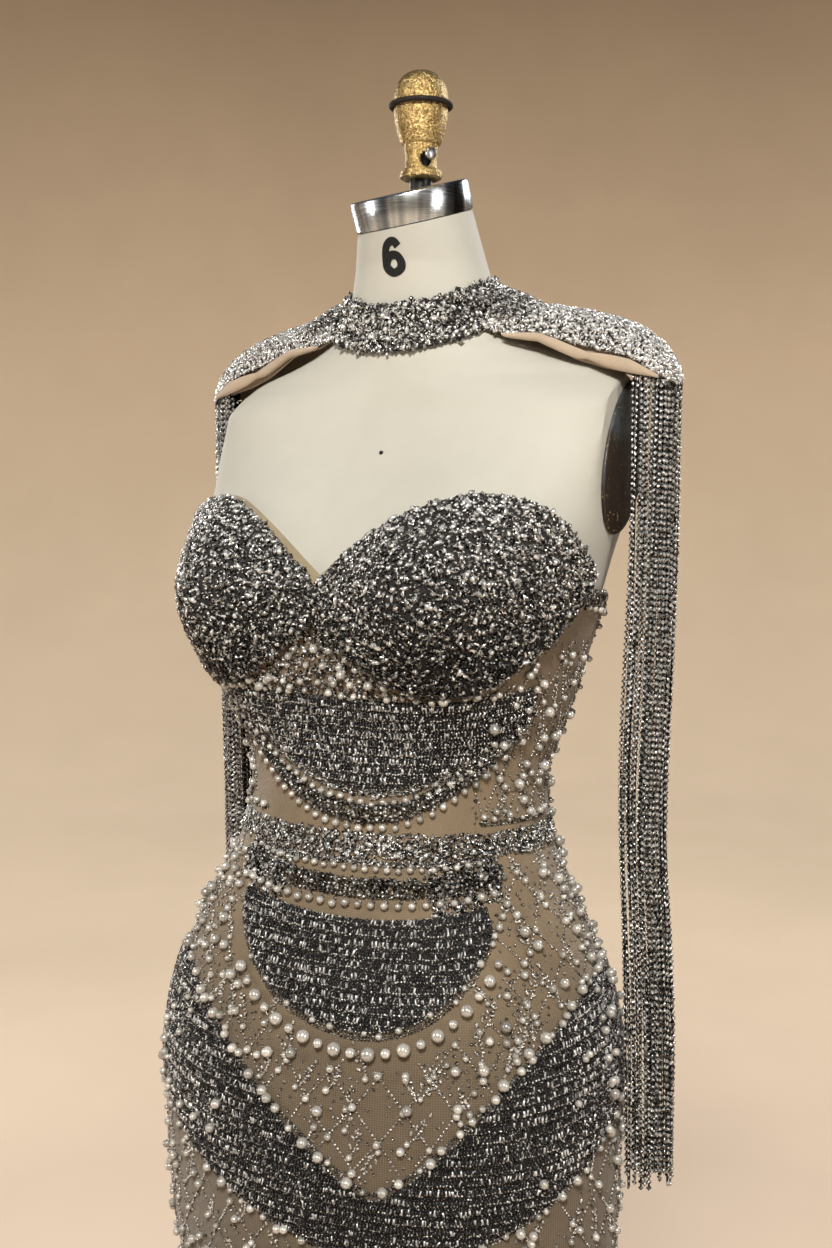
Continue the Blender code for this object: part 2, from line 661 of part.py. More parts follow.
def build_fringes():
    rng = np.random.default_rng(6)
    share, *strays = np.array(STRAY).T
    for name, sign, (outwards, forwards) in (("left", 1, strays[:2]), ("right", -1, strays[2:])):
        half = ROOT_THICK / 2
        bm = bmesh.new()
        strip = []
        rim = rim_points(12)
        along = np.gradient(rim[:, :2], axis=0)
        across = np.stack([-along[:, 1], along[:, 0]], -1) / np.linalg.norm(along, axis=1, keepdims=True)
        for (x, y, z), (out_x, out_y) in zip(rim, across):
            top = z - ROOT_DROP
            corners = ((-half, top - ROOT_TALL), (half, top - ROOT_TALL), (half, top), (-half, top))
            strip.append([bm.verts.new((sign * (x + out_x * a), y + out_y * a, b)) for a, b in corners])
        join_rings(bm, strip)
        root = add_object("fringe_" + name, bm, "crystal", 30.0)

        bm = bmesh.new()
        for x, y, z in rim_points(STRANDS + 2)[1:-1]:
            end = FRINGE_END + rng.uniform(0.0, 0.012)
            sway = rng.uniform(-0.0006, 0.0006, 2)
            top = z - ROOT_TALL / 2
            rings = []
            for part, out, ahead in zip(share, outwards, forwards):
                centre_x = x + out + sway[0] * part
                centre_y = y - ahead + sway[1] * part
                half = STRAND_WIDE / 2
                corners = ((-half, -half), (half, -half), (half, half), (-half, half))
                height = top * (1 - part) + end * part
                rings.append([bm.verts.new((sign * centre_x + a, centre_y + b, height)) for a, b in corners])
            join_rings(bm, rings[::-1])
        fuse_with(root, [add_object("strands_" + name, bm, "crystal", 30.0)], "UNION")


# Gown: centre back zip ---------------------------------------------------------------
ZIP_TOP = 1.176
SLIDER_HALF = (0.0035, 0.0014, 0.0055)
PIVOT_OUT = 0.0058       # from the slider's seat to the pull's pivot
BAR_RADIUS, EYE_RADIUS, KNUCKLE_RADIUS = 0.0007, 0.00101, 0.0019


def turned_box(bm, centre, half, lean=0.0):
    """A box about its centre, whose top leans out by lean."""
    size = [2 * side for side in half]
    place = Matrix.Translation(centre) @ Matrix.Rotation(-lean, 4, "X") @ Matrix.Diagonal((*size, 1))
    bmesh.ops.create_cube(bm, size=1, matrix=place)


def cross_pin(bm, centre, radius, width):
    """A round pin along X."""
    place = Matrix.Translation(centre) @ Matrix.Rotation(math.radians(90), 4, "Y")
    bmesh.ops.create_cone(bm, cap_ends=True, segments=12, radius1=radius, radius2=radius, depth=width, matrix=place)


def build_zip():
    """Slider over the centre back seam, with a bail, and the pull tab that hangs from it."""
    half_x, half_y, half_z = SLIDER_HALF
    seat, low, high = (skin(180.0, z, CLOTH_OUT)[1] for z in (ZIP_TOP, ZIP_TOP - half_z, ZIP_TOP + half_z))
    lean = math.atan2(high - low, 2 * half_z)
    pivot_y = seat + PIVOT_OUT
    bm = bmesh.new()
    turned_box(bm, (0, seat + half_y + 1.5 * GAP, ZIP_TOP), SLIDER_HALF, lean)
    slider = add_object("zip_slider", bm, "steel")
    bail = []
    leg_half, leg_x = 0.0006, half_x - 0.0009
    for side in (-1, 1):
        bm = bmesh.new()
        leg_foot, leg_head = seat + half_y, pivot_y + 0.0010
        turned_box(bm, (side * leg_x, (leg_foot + leg_head) / 2, ZIP_TOP), (leg_half, (leg_head - leg_foot) / 2, 0.0010))
        bail.append(add_object("zip_leg", bm, "steel"))
    bm = bmesh.new()
    cross_pin(bm, (0, pivot_y, ZIP_TOP), BAR_RADIUS, 2 * leg_x)
    bail.append(add_object("zip_bar", bm, "steel"))
    fuse_with(slider, bail, "UNION")

    pivot = bpy.data.objects.new("zip_pull_pivot", None)
    pivot.location = (0, pivot_y, ZIP_TOP)
    bpy.context.scene.collection.objects.link(pivot)
    half_thick = 0.0006
    outline = [(0.0013, -0.0008), (0.0016, -0.0045), (0.0030, -0.0120), (0.0034, -0.0200),
               (0.0022, -0.0240), (0.0, -0.0250)]
    outline += [(-a, b) for a, b in outline[-2::-1]]
    bm = bmesh.new()
    front = [bm.verts.new((a, half_thick, b)) for a, b in outline]
    back = [bm.verts.new((a, -half_thick, b)) for a, b in outline]
    join_rings(bm, [back, front])
    tab = add_object("zip_pull", bm, "steel")
    bm = bmesh.new()
    cross_pin(bm, (0, 0, 0), KNUCKLE_RADIUS, 0.0030)
    knuckle = add_object("zip_knuckle", bm, "steel")
    bm = bmesh.new()
    cross_pin(bm, (0, 0, 0), EYE_RADIUS, 0.0100)
    eye = add_object("zip_eye", bm, "steel")
    for piece in (tab, knuckle, eye):
        piece.parent = pivot
    fuse_with(tab, [knuckle], "UNION")
    fuse_with(tab, [eye], "DIFFERENCE")


def main():
    for old in list(bpy.data.objects):
        bpy.data.objects.remove(old, do_unlink=True)
    build_torso()
    build_arm_plates()
    build_neck_cap()
    finial_foot = build_finial()
    build_cap_post(finial_foot - GAP)
    build_stand()
    build_bodice()
    build_cups()
    build_skirt()
    build_bead_panels()
    build_swags()
    build_collar()
    build_shoulder_caps()
    build_fringes()
    build_zip()


main()
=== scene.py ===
"""Looks of a beaded evening gown on a limbless dress form.

Metres, +Z up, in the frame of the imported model. The form faces -Y and the wearer's
left is +X. A place on the gown is given by t, the angle in degrees round the figure
from centre front towards the wearer's left, and z, the height. Every bead sits at
such a place, in a frame of three directions: along, up and out.
"""

import math

import bpy
import numpy as np
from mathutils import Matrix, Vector


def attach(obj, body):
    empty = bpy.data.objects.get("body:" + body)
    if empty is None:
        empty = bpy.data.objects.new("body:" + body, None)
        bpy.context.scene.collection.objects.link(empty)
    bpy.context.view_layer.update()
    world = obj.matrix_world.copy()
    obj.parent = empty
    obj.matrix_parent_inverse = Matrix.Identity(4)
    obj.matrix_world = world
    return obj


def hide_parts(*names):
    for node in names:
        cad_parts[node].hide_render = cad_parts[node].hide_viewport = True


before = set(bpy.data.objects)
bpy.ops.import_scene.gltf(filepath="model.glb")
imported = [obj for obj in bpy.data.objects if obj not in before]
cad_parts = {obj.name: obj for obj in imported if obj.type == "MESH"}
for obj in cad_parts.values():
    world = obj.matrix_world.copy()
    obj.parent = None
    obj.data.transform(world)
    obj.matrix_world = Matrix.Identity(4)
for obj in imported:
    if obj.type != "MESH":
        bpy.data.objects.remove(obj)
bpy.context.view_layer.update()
GOWN = "gown_on_form"
rng = np.random.default_rng(11)

# Sizes that the gown and the form share with the frame ------------------------------
GAP = 0.0003
FORM_BOTTOM, NECK_TOP = 0.700, 1.474
WAIST, HEM = 1.0615, 0.012
CLOTH_IN, CLOTH_OUT = 0.0014, 0.0028
LAID_IN, CUP_IN, COLLAR_IN = 0.0038, 0.0046, 0.0009
SWAG_OUT = 0.0088
FACING_IN, FACING_OUT = 0.0011, 0.0026
FORM_UNDER, ARM_FLAT = 0.0005, 0.162
PLATE_CENTRE, PLATE_HALF, PLATE_TILT, PLATE_THICK = (0.006, 1.332), (0.033, 0.060), 28.0, 0.003
CAP_SEAT = np.array((0.0, -0.009, 1.5085))
CAP_LEAN = np.array((-0.07, -0.295, 0.953)) / np.linalg.norm((-0.07, -0.295, 0.953))
NECK_RADIUS, NECK_CAP_RADIUS, NECK_CAP_TALL = 0.0435, 0.0445, 0.022
BASE_RADIUS, POLE_RADIUS, POLE_FOOT = 0.190, 0.0125, 0.0450
FLANGE_RADIUS, FLANGE_TALL = 0.052, 0.008
BACKING = 0.0012         # thickness of the cloth under the beads of a laid panel

# Figure sections: height, half width, front y, back y, roundness (2 is an ellipse)
SECTIONS = np.array((
    (0.012, 0.2500, -0.262, 0.222, 2.0),
    (0.100, 0.2200, -0.232, 0.188, 2.0),
    (0.200, 0.1900, -0.203, 0.150, 2.0),
    (0.300, 0.1660, -0.178, 0.112, 2.0),
    (0.400, 0.1560, -0.162, 0.078, 2.05),
    (0.500, 0.1580, -0.157, 0.062, 2.1),
    (0.600, 0.1640, -0.156, 0.060, 2.15),
    (0.700, 0.1700, -0.158, 0.062, 2.15),
    (0.780, 0.1745, -0.170, 0.069, 2.15),
    (0.840, 0.1765, -0.174, 0.072, 2.15),
    (0.880, 0.1770, -0.174, 0.073, 2.15),
    (0.920, 0.1735, -0.170, 0.072, 2.15),
    (0.950, 0.1665, -0.164, 0.070, 2.15),
    (0.975, 0.1575, -0.157, 0.067, 2.1),
    (1.000, 0.1465, -0.149, 0.062, 2.1),
    (1.025, 0.1325, -0.140, 0.057, 2.1),
    (1.050, 0.1200, -0.130, 0.0535, 2.1),
    (1.075, 0.1135, -0.1225, 0.0525, 2.1),
    (1.100, 0.1125, -0.1185, 0.0535, 2.1),
    (1.125, 0.1180, -0.1190, 0.0570, 2.1),
    (1.150, 0.1275, -0.124, 0.062, 2.15),
    (1.190, 0.1410, -0.135, 0.069, 2.2),
    (1.225, 0.1510, -0.138, 0.074, 2.25),
    (1.260, 0.1580, -0.128, 0.077, 2.4),
    (1.300, 0.1660, -0.098, 0.078, 2.7),
    (1.340, 0.1745, -0.066, 0.077, 3.0),
    (1.365, 0.1765, -0.053, 0.073, 3.0),
    (1.380, 0.1690, -0.049, 0.070, 2.4),
    (1.392, 0.1600, -0.046, 0.067, 1.7),
    (1.406, 0.1200, -0.043, 0.063, 1.65),
    (1.419, 0.0900, -0.041, 0.059, 1.65),
    (1.431, 0.0730, -0.041, 0.056, 1.8),
    (1.442, 0.0640, -0.041, 0.053, 2.0),
    (1.456, 0.0575, -0.042, 0.051, 2.0),
    (1.474, 0.0520, -0.044, 0.047, 2.0),
))
BUST_X, BUST_Z, BUST_WIDE, BUST_TALL = 0.085, 1.238, 0.052, 0.060
FORM_BUST, GOWN_BUST = 0.033, 0.040

# Shoulder caps, one row a station: x, ridge z, front y, front z, back y, back z, lining's drop
CAP_STATIONS = np.array((
    (0.0710, 1.4485, -0.0225, 1.4240, 0.0440, 1.4255, -0.0011),
    (0.0860, 1.4455, -0.0210, 1.4195, 0.0440, 1.4200, 0.0010),
    (0.1080, 1.4425, -0.0185, 1.4185, 0.0430, 1.4170, 0.0040),
    (0.1340, 1.4370, -0.0150, 1.4098, 0.0410, 1.4100, 0.0105),
    (0.1550, 1.4310, -0.0120, 1.4044, 0.0385, 1.4040, 0.0120),
    (0.1730, 1.4230, -0.0095, 1.3985, 0.0355, 1.3970, 0.0100),
    (0.1870, 1.4125, -0.0060, 1.3890, 0.0310, 1.3900, 0.0020),
    (0.1970, 1.4000, 0.0005, 1.3835, 0.0245, 1.3840, 0.0000),
    (0.2025, 1.3880, 0.0080, 1.3810, 0.0160, 1.3810, 0.0000),
))
CAP_WALL, CAP_BED = 0.0040, 0.0016
LINING_FROM, LINING_TO, LINING_REACH = 0.0044, 0.0062, 0.80
NECK_Y, NECK_CURL = 0.008, 6.5

# How a strand strays on its way down, past the front of the left hip and the back of the right:
# share of its length, left outwards, left forwards, right outwards, right forwards
STRAY = np.array((
    (0.00, 0.0000, 0.0000, 0.0000, 0.0000),
    (0.32, -0.0010, 0.0060, -0.0010, -0.0020),
    (0.56, -0.0020, 0.0170, -0.0010, -0.0060),
    (0.80, 0.0125, 0.0340, 0.0015, -0.0125),
    (1.00, 0.0140, 0.0360, 0.0020, -0.0140),
))
RIM_FROM, FRINGE_END = 5, 0.815

# Soft creases of the gown: t, z, half width in degrees, half length in metres, lean in
# degrees a metre, depth in metres (troughs below nought)
CREASES = (
    (-34.0, 0.560, 5.0, 0.170, 30.0, -0.0020), (-12.0, 0.500, 4.0, 0.120, -18.0, 0.0016),
    (21.0, 0.610, 5.5, 0.200, -34.0, -0.0022), (48.0, 0.520, 4.5, 0.140, 12.0, 0.0018),
    (83.0, 0.570, 6.0, 0.180, 26.0, -0.0021), (118.0, 0.540, 5.0, 0.150, -22.0, 0.0017),
    (151.0, 0.620, 6.0, 0.210, 16.0, -0.0024), (-158.0, 0.560, 5.0, 0.160, -20.0, 0.0019),
    (-121.0, 0.600, 5.5, 0.190, 28.0, -0.0020), (-83.0, 0.530, 4.5, 0.130, -14.0, 0.0015),
    (70.0, 1.100, 3.5, 0.030, 90.0, -0.0007), (84.0, 1.120, 3.0, 0.035, -60.0, 0.0006),
    (-71.0, 1.105, 3.5, 0.030, -80.0, -0.0007), (142.0, 1.085, 5.0, 0.025, 150.0, -0.0008),
    (-139.0, 1.090, 5.0, 0.028, -140.0, -0.0008), (160.0, 0.960, 6.0, 0.030, 200.0, -0.0009),
)


# Figure and its surface ---------------------------------------------------------------
def section_value(z, column):
    """Monotone cubic curve through one column of SECTIONS: Hermite pieces with harmonic mean slopes."""
    height, value = SECTIONS[:, 0], SECTIONS[:, column]
    width = np.diff(height)
    slope = np.diff(value) / width
    tangent = np.zeros_like(value)
    tangent[0], tangent[-1] = slope[0], slope[-1]
    before, after = slope[:-1], slope[1:]
    level = before * after <= 0
    first = 2 * width[1:] + width[:-1]
    second = width[1:] + 2 * width[:-1]
    safe_before = np.where(level, 1.0, before)
    safe_after = np.where(level, 1.0, after)
    mean = (first + second) / (first / safe_before + second / safe_after)
    tangent[1:-1] = np.where(level, 0.0, mean)
    z = np.clip(z, height[0], height[-1])
    i = np.clip(np.searchsorted(height, z, side="right") - 1, 0, len(width) - 1)
    s = (z - height[i]) / width[i]
    return (
        value[i] * (1 + 2 * s) * (1 - s) ** 2
        + tangent[i] * width[i] * s * (1 - s) ** 2
        + value[i + 1] * s * s * (3 - 2 * s)
        + tangent[i + 1] * width[i] * s * s * (s - 1)
    )


def figure(t, z, bust):
    """Points of the figure: a superellipse at each height, less two round mounds in front."""
    t, z = np.broadcast_arrays(np.asarray(t, float), np.asarray(z, float))
    half, front, back, power = (section_value(z, column) for column in (1, 2, 3, 4))
    c, s = np.cos(np.radians(t)), np.sin(np.radians(t))
    x = half * np.sign(s) * np.abs(s) ** (2 / power)
    y = (front + back) / 2 - (back - front) / 2 * np.sign(c) * np.abs(c) ** (2 / power)
    across = (np.abs(x) - BUST_X) / BUST_WIDE
    up = (z - BUST_Z) / BUST_TALL
    mound = bust * np.exp(-(across**2) - up**2) * np.clip(c / 0.35, 0, 1)
    return np.stack([x, y - mound, z], -1)


def unit(vectors):
    return vectors / np.linalg.norm(vectors, axis=-1, keepdims=True)


def bearings(t, z, bust=GOWN_BUST):
    """Along, up and out at places on the figure, from differences half a degree and 2 mm away."""
    along = unit(figure(t + 0.5, z, bust) - figure(t - 0.5, z, bust))
    out = unit(np.cross(along, figure(t, z + 0.002, bust) - figure(t, z - 0.002, bust)))
    return along, np.cross(out, along), out


def relief(t, z):
    """How far the cloth stands off its plain section: eight hem flutes, and the soft creases."""
    wave_from, wave_deep, waves = 0.36, 0.007, 8
    growth = np.clip((wave_from - z) / wave_from, 0, 1) ** 1.5
    total = wave_deep * growth * np.cos(np.radians(waves * t))
    for at_t, at_z, wide, tall, lean, depth in CREASES:
        off = (t - at_t - lean * (z - at_z) + 180) % 360 - 180
        total = total + depth * np.exp(-((off / wide) ** 2) - ((z - at_z) / tall) ** 2)
    return total


def skin(t, z, proud, bust=GOWN_BUST):
    """Points that stand proud of the figure, along its outward direction."""
    t, z = np.broadcast_arrays(np.asarray(t, float), np.asarray(z, float))
    lift = np.asarray(proud) + (relief(t, z) if bust == GOWN_BUST else 0)
    return figure(t, z, bust) + bearings(t, z, bust)[2] * np.asarray(lift)[..., None]


def on_gown(t, z, proud, bust=GOWN_BUST):
    """Seats for beads on the figure: an array of point, along, up and out for each place."""
    t, z = np.broadcast_arrays(np.asarray(t, float).ravel(), np.asarray(z, float).ravel())
    along, up, out = bearings(t, z, bust)
    return np.stack([skin(t, z, proud, bust), along, up, out], 1)


def cap_surface(u, v, lined=0.0):
    """Shoulder cap for +X: a raised cosine arch over v from front to back, at the stations u."""
    knots = np.linspace(0, 1, len(CAP_STATIONS))
    x, ridge_z, front_y, front_z, back_y, back_z, drop = (np.interp(u, knots, column) for column in CAP_STATIONS.T)
    share = (1 + np.sin(np.pi / 2 * v)) / 2
    y = front_y * (1 - share) + back_y * share
    edge_z = front_z * (1 - share) + back_z * share - lined * drop * np.abs(v) ** 6
    z = edge_z + (ridge_z - edge_z) * np.cos(np.pi / 2 * v) ** 0.8
    return np.stack([x - NECK_CURL * (1 - u) ** 4 * (y - NECK_Y) ** 2, y, z], -1)


def on_cap(u, v, inset, lined=0.0):
    """Seats on the left shoulder cap, moved in along its normal by inset."""
    u, v = np.broadcast_arrays(np.asarray(u, float), np.asarray(v, float))
    e = 0.02
    du = cap_surface(np.clip(u + e, 0, 1), v, lined) - cap_surface(np.clip(u - e, 0, 1), v, lined)
    dv = cap_surface(u, np.clip(v + e, -1, 1), lined) - cap_surface(u, np.clip(v - e, -1, 1), lined)
    out = unit(np.cross(du, dv))
    along = unit(du)
    points = cap_surface(u, v, lined) - out * np.asarray(inset)[..., None]
    return np.stack([points, along, np.cross(out, along), out], -2)


def mirrored(seats):
    """The same seats on the wearer's other side, still right-handed."""
    seats = seats * (-1, 1, 1)
    seats[..., 1, :] *= -1
    return seats


# Meshes -------------------------------------------------------------------------------
def place(obj, finish, replaces=(), body=GOWN):
    """Gives a piece its material and body, and hides the nodes that it stands for."""
    obj.data.materials.clear()
    obj.data.materials.append(FINISHES[finish])
    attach(obj, body)
    if replaces:
        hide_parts(*replaces)
    return obj


def mesh_object(name, points, faces, uv=None, smooth=True, sharp=40.0):
    """An object at the origin from an array of points and an array of faces with equal corner counts."""
    faces = np.asarray(faces, np.int32)
    count, corners = faces.shape
    mesh = bpy.data.meshes.new(name)
    mesh.vertices.add(len(points))
    mesh.vertices.foreach_set("co", np.asarray(points, np.float32).ravel())
    mesh.loops.add(count * corners)
    mesh.loops.foreach_set("vertex_index", faces.ravel())
    mesh.polygons.add(count)
    mesh.polygons.foreach_set("loop_start", np.arange(count, dtype=np.int32) * corners)
    if uv is not None:
        layer = mesh.uv_layers.new(name="metres")
        layer.data.foreach_set("uv", np.asarray(uv, np.float32)[faces.ravel()].ravel())
    mesh.update(calc_edges=True)
    mesh.validate()
    if smooth:
        mesh.shade_smooth()
        mesh.set_sharp_from_angle(angle=math.radians(sharp))
    obj = bpy.data.objects.new(name, mesh)
    bpy.context.scene.collection.objects.link(obj)
    return obj


def wall(name, outer, inner, uv=None, sharp=50.0):
    """A closed wall between two grids of points: two skins, and a band of faces along all four edges."""
    rows, columns = outer.shape[:2]
    index = np.arange(rows * columns).reshape(rows, columns)
    a, b, c, d = index[:-1, :-1], index[:-1, 1:], index[1:, 1:], index[1:, :-1]
    front = np.stack([a, b, c, d], -1).reshape(-1, 4)
    back = front[:, ::-1] + rows * columns
    edge = np.concatenate([index[0, :-1], index[:-1, -1], index[-1, :0:-1], index[:0:-1, 0]])
    after = np.roll(edge, -1)
    rim = np.stack([after, edge, edge + rows * columns, after + rows * columns], -1)
    points = np.concatenate([outer.reshape(-1, 3), inner.reshape(-1, 3)])
    if uv is not None:
        uv = np.concatenate([uv.reshape(-1, 2)] * 2)
    return mesh_object(name, points, np.concatenate([front, back, rim]), uv, True, sharp)


def turned(name, profile, sides=72, sharp=35.0):
    """A turned piece: (radius, z) points carried round +Z, closed at both ends by a pole."""
    profile = np.array(profile, float)
    turn = np.linspace(0, 2 * np.pi, sides, endpoint=False)
    ring = np.stack([np.cos(turn), np.sin(turn)], -1)
    body = np.concatenate([
        profile[:, None, :1] * ring[None],
        np.broadcast_to(profile[:, None, 1:], (len(profile), sides, 1)),
    ], -1).reshape(-1, 3)
    poles = np.array([(0, 0, profile[0, 1]), (0, 0, profile[-1, 1])])
    i = np.arange(sides)
    j = (i + 1) % sides
    faces = [np.stack([r * sides + i, r * sides + j, (r + 1) * sides + j, (r + 1) * sides + i], -1)
             for r in range(len(profile) - 1)]
    quads = np.concatenate(faces)
    tris = np.concatenate([quads[:, (0, 1, 2)], quads[:, (0, 2, 3)]])
    foot, head = len(body), len(body) + 1
    last = (len(profile) - 1) * sides
    tris = np.concatenate([tris, np.stack([j, i, np.full(sides, foot)], -1),
                           np.stack([last + i, last + j, np.full(sides, head)], -1)])
    return mesh_object(name, np.concatenate([body, poles]), tris, None, True, sharp)


def moved(obj, matrix):
    """Moves a piece's points, and leaves the object at the origin."""
    points = np.empty(len(obj.data.vertices) * 3, np.float32)
    obj.data.vertices.foreach_get("co", points)
    points = points.reshape(-1, 3) @ np.array(matrix)[:3, :3].T + np.array(matrix)[:3, 3]
    obj.data.vertices.foreach_set("co", points.astype(np.float32).ravel())
    obj.data.update()
    return obj


# Beads: each kind is points within 1 of the seat, and triangles ------------------------------
def ring(radius, height, sides, phase=0.0):
    turn = (np.arange(sides) + phase) * 2 * np.pi / sides
    return np.stack([radius * np.cos(turn), radius * np.sin(turn), np.full(sides, height)], -1)


def band(first, second, sides):
    """Triangles between two rings of equal count, whose first points are at these numbers."""
    i = np.arange(sides)
    j = (i + 1) % sides
    return np.concatenate([np.stack([first + i, first + j, second + j], -1),
                           np.stack([first + i, second + j, second + i], -1)])


def fan(first, sides, up):
    """Triangles that close a ring with no middle point."""
    i = np.arange(1, sides - 1)
    tris = np.stack([np.full(sides - 2, first), first + i, first + i + 1], -1)
    return tris if up else tris[:, ::-1]


def chaton(sides=6):
    """A set stone: a wide foot, and a small flat table turned half a side."""
    points = np.concatenate([ring(1.0, 0.0, sides), ring(0.56, 0.62, sides, 0.5)])
    return points, np.concatenate([band(0, sides, sides), fan(0, sides, False), fan(sides, sides, True)])


def brilliant(sides=6):
    """A stone cut on both sides: a table, a girdle and a point behind."""
    points = np.concatenate([ring(0.55, 0.60, sides, 0.5), ring(1.0, 0.0, sides), [(0, 0, -0.75)]])
    i = np.arange(sides)
    point = np.stack([sides + (i + 1) % sides, sides + i, np.full(sides, 2 * sides)], -1)
    return points, np.concatenate([fan(0, sides, True), band(sides, 0, sides), point])


def seed():
    """The smallest bead, an octahedron."""
    points = np.array([(1, 0, 0), (0, 1, 0), (-1, 0, 0), (0, -1, 0), (0, 0, 1), (0, 0, -1)], float)
    return points, np.array([(0, 1, 4), (1, 2, 4), (2, 3, 4), (3, 0, 4), (1, 0, 5), (2, 1, 5), (3, 2, 5), (0, 3, 5)])


def navette():
    """A pointed oval stone with a ridge along it."""
    points = np.array([(-1, 0, 0), (-0.45, -0.9, 0), (0.45, -0.9, 0), (1, 0, 0), (0.45, 0.9, 0), (-0.45, 0.9, 0),
                       (-0.4, 0, 0.8), (0.4, 0, 0.8)], float)
    crown = [(0, 1, 6), (1, 2, 7), (1, 7, 6), (2, 3, 7), (3, 4, 7), (4, 5, 6), (4, 6, 7), (5, 0, 6)]
    return points, np.concatenate([np.array(crown), fan(0, 6, False)])


def bugle(sides=5):
    """A short tube bead lying along its seat."""
    ends = ring(1.0, -1.0, sides, 0.25), ring(1.0, 1.0, sides, 0.25)
    points = np.concatenate(ends)[:, (2, 1, 0)] * (1, -1, 1)
    return points, np.concatenate([band(0, sides, sides), fan(0, sides, False), fan(sides, sides, True)])


def ball(sides=8, levels=5):
    """A round bead: rings at even turns from pole to pole."""
    turns = np.linspace(-np.pi / 2, np.pi / 2, levels + 1)[1:-1]
    rings = [ring(np.cos(a), np.sin(a), sides, 0.5 * n) for n, a in enumerate(turns)]
    points = np.concatenate([*rings, [(0, 0, -1), (0, 0, 1)]])
    i = np.arange(sides)
    j = (i + 1) % sides
    top = (levels - 2) * sides
    faces = [np.stack([j, i, np.full(sides, len(points) - 2)], -1),
             np.stack([top + i, top + j, np.full(sides, len(points) - 1)], -1)]
    faces += [band(n * sides, (n + 1) * sides, sides) for n in range(levels - 2)]
    return points, np.concatenate(faces)


def turned_by(seats, angle):
    """Seats turned about their own outward direction, by an angle in radians."""
    c, s = np.cos(angle)[:, None], np.sin(angle)[:, None]
    along, up = seats[:, 1] * c + seats[:, 2] * s, seats[:, 2] * c - seats[:, 1] * s
    return np.stack([seats[:, 0], along, up, seats[:, 3]], 1)


def leaned(seats, amount):
    """Seats whose outward direction leans at random, so that the stones don't all face one way."""
    lean = rng.normal(0, amount, (len(seats), 2))
    out = unit(seats[:, 3] + seats[:, 1] * lean[:, :1] + seats[:, 2] * lean[:, 1:])
    along = unit(seats[:, 1] - out * (seats[:, 1] * out).sum(1, keepdims=True))
    return np.stack([seats[:, 0], along, np.cross(out, along), out], 1)


def bead_parts(kind, seats, size, tone, spread=0.35):
    """Points, triangles and tones of one bead at each seat; a facet's tone strays from its bead's."""
    points, faces = kind
    count = len(seats)
    size = np.broadcast_to(np.asarray(size, float).reshape(-1, 3), (count, 3))
    shape = points[None] * size[:, None]
    placed = seats[:, None, 0] + np.einsum("npk,nkc->npc", shape, seats[:, 1:])
    numbered = faces[None] + (np.arange(count) * len(points))[:, None, None]
    tone = np.broadcast_to(np.asarray(tone, float), (count,))[:, None]
    facets = np.clip(tone + spread * rng.normal(0, 1, (count, len(faces))), 0, 1)
    return placed.reshape(-1, 3), numbered.reshape(-1, 3), facets.ravel()


def beads(name, parts, finish, replaces=(), smooth=False, body=GOWN):
    """One piece from several sets of beads, with the face attribute tone."""
    points, faces, tones, first = [], [], [], 0
    for placed, numbered, facets in parts:
        points.append(placed)
        faces.append(numbered + first)
        tones.append(facets)
        first += len(placed)
    obj = mesh_object(name, np.concatenate(points), np.concatenate(faces), None, smooth, 180.0)
    layer = obj.data.attributes.new("tone", "FLOAT", "FACE")
    layer.data.foreach_set("value", np.concatenate(tones).astype(np.float32))
    return place(obj, finish, replaces, body)


# Where beads go ------------------------------------------------------------------------
def packed(first, last, low, high, pitch, jitter=0.25, rise=0.87, offset=0.0, sag=0.0):
    """t and z of beads in staggered rows between two edges that depend on t, each about pitch apart; the rows
    hang by sag metres forty degrees either side of the design's middle."""
    fine = np.linspace(first, last, 361)
    rows = np.arange(low(fine).min() + offset - sag * 4, high(fine).max(), pitch * rise)
    grid = figure(fine[None, :], rows[:, None], GOWN_BUST)
    length = np.concatenate([np.zeros((len(rows), 1)), np.cumsum(np.linalg.norm(np.diff(grid, axis=1), axis=2), 1)], 1)
    t, z = [], []
    for n, row in enumerate(rows):
        at = np.arange((n % 2) * pitch / 2, length[n, -1], pitch)
        at = at + rng.normal(0, jitter * pitch, len(at))
        t.append(np.interp(at, length[n], fine))
        z.append(row + sag * (drift(t[-1], 14) / 40) ** 2)
    t, z = np.concatenate(t), np.concatenate(z)
    z = z + rng.normal(0, jitter * pitch, len(z))
    keep = (z > low(t)) & (z < high(t))
    return t[keep], z[keep]


def seats_in(first, last, low, high, proud, bust=GOWN_BUST):
    """A function that gives seats of any pitch in a region."""
    def seats_at(pitch):
        return on_gown(*packed(first, last, low, high, pitch), proud, bust)

    return seats_at


def strung(t, z, pitch, proud, bust=GOWN_BUST):
    """Seats one pitch apart along a line of places, with along turned to follow the line."""
    t, z = np.asarray(t, float), np.asarray(z, float)
    points = skin(t, z, np.full(t.shape, proud), bust)
    length = np.append(0, np.cumsum(np.linalg.norm(np.diff(points, axis=0), axis=1)))
    at = np.arange(pitch / 2, length[-1], pitch)
    seats = on_gown(np.interp(at, length, t), np.interp(at, length, z), np.full(at.shape, proud), bust)
    line = np.stack([np.interp(at + e, length, axis) for e in (-pitch, pitch) for axis in points.T], -1)
    ahead = line[:, 3:] - line[:, :3]
    angle = np.arctan2((ahead * seats[:, 2]).sum(1), (ahead * seats[:, 1]).sum(1))
    return turned_by(seats, angle)


def curve_through(knots, count=60):
    """Places along a smooth curve through (t, z) knots, by cubic pieces with Catmull-Rom slopes."""
    knots = np.array(knots, float)
    slopes = np.gradient(knots, axis=0)
    at = np.linspace(0, len(knots) - 1, count)
    i = np.clip(at.astype(int), 0, len(knots) - 2)
    s = (at - i)[:, None]
    line = (knots[i] * (1 + 2 * s) * (1 - s) ** 2 + slopes[i] * s * (1 - s) ** 2
            + knots[i + 1] * s * s * (3 - 2 * s) + slopes[i + 1] * s * s * (s - 1))
    return line[:, 0], line[:, 1]


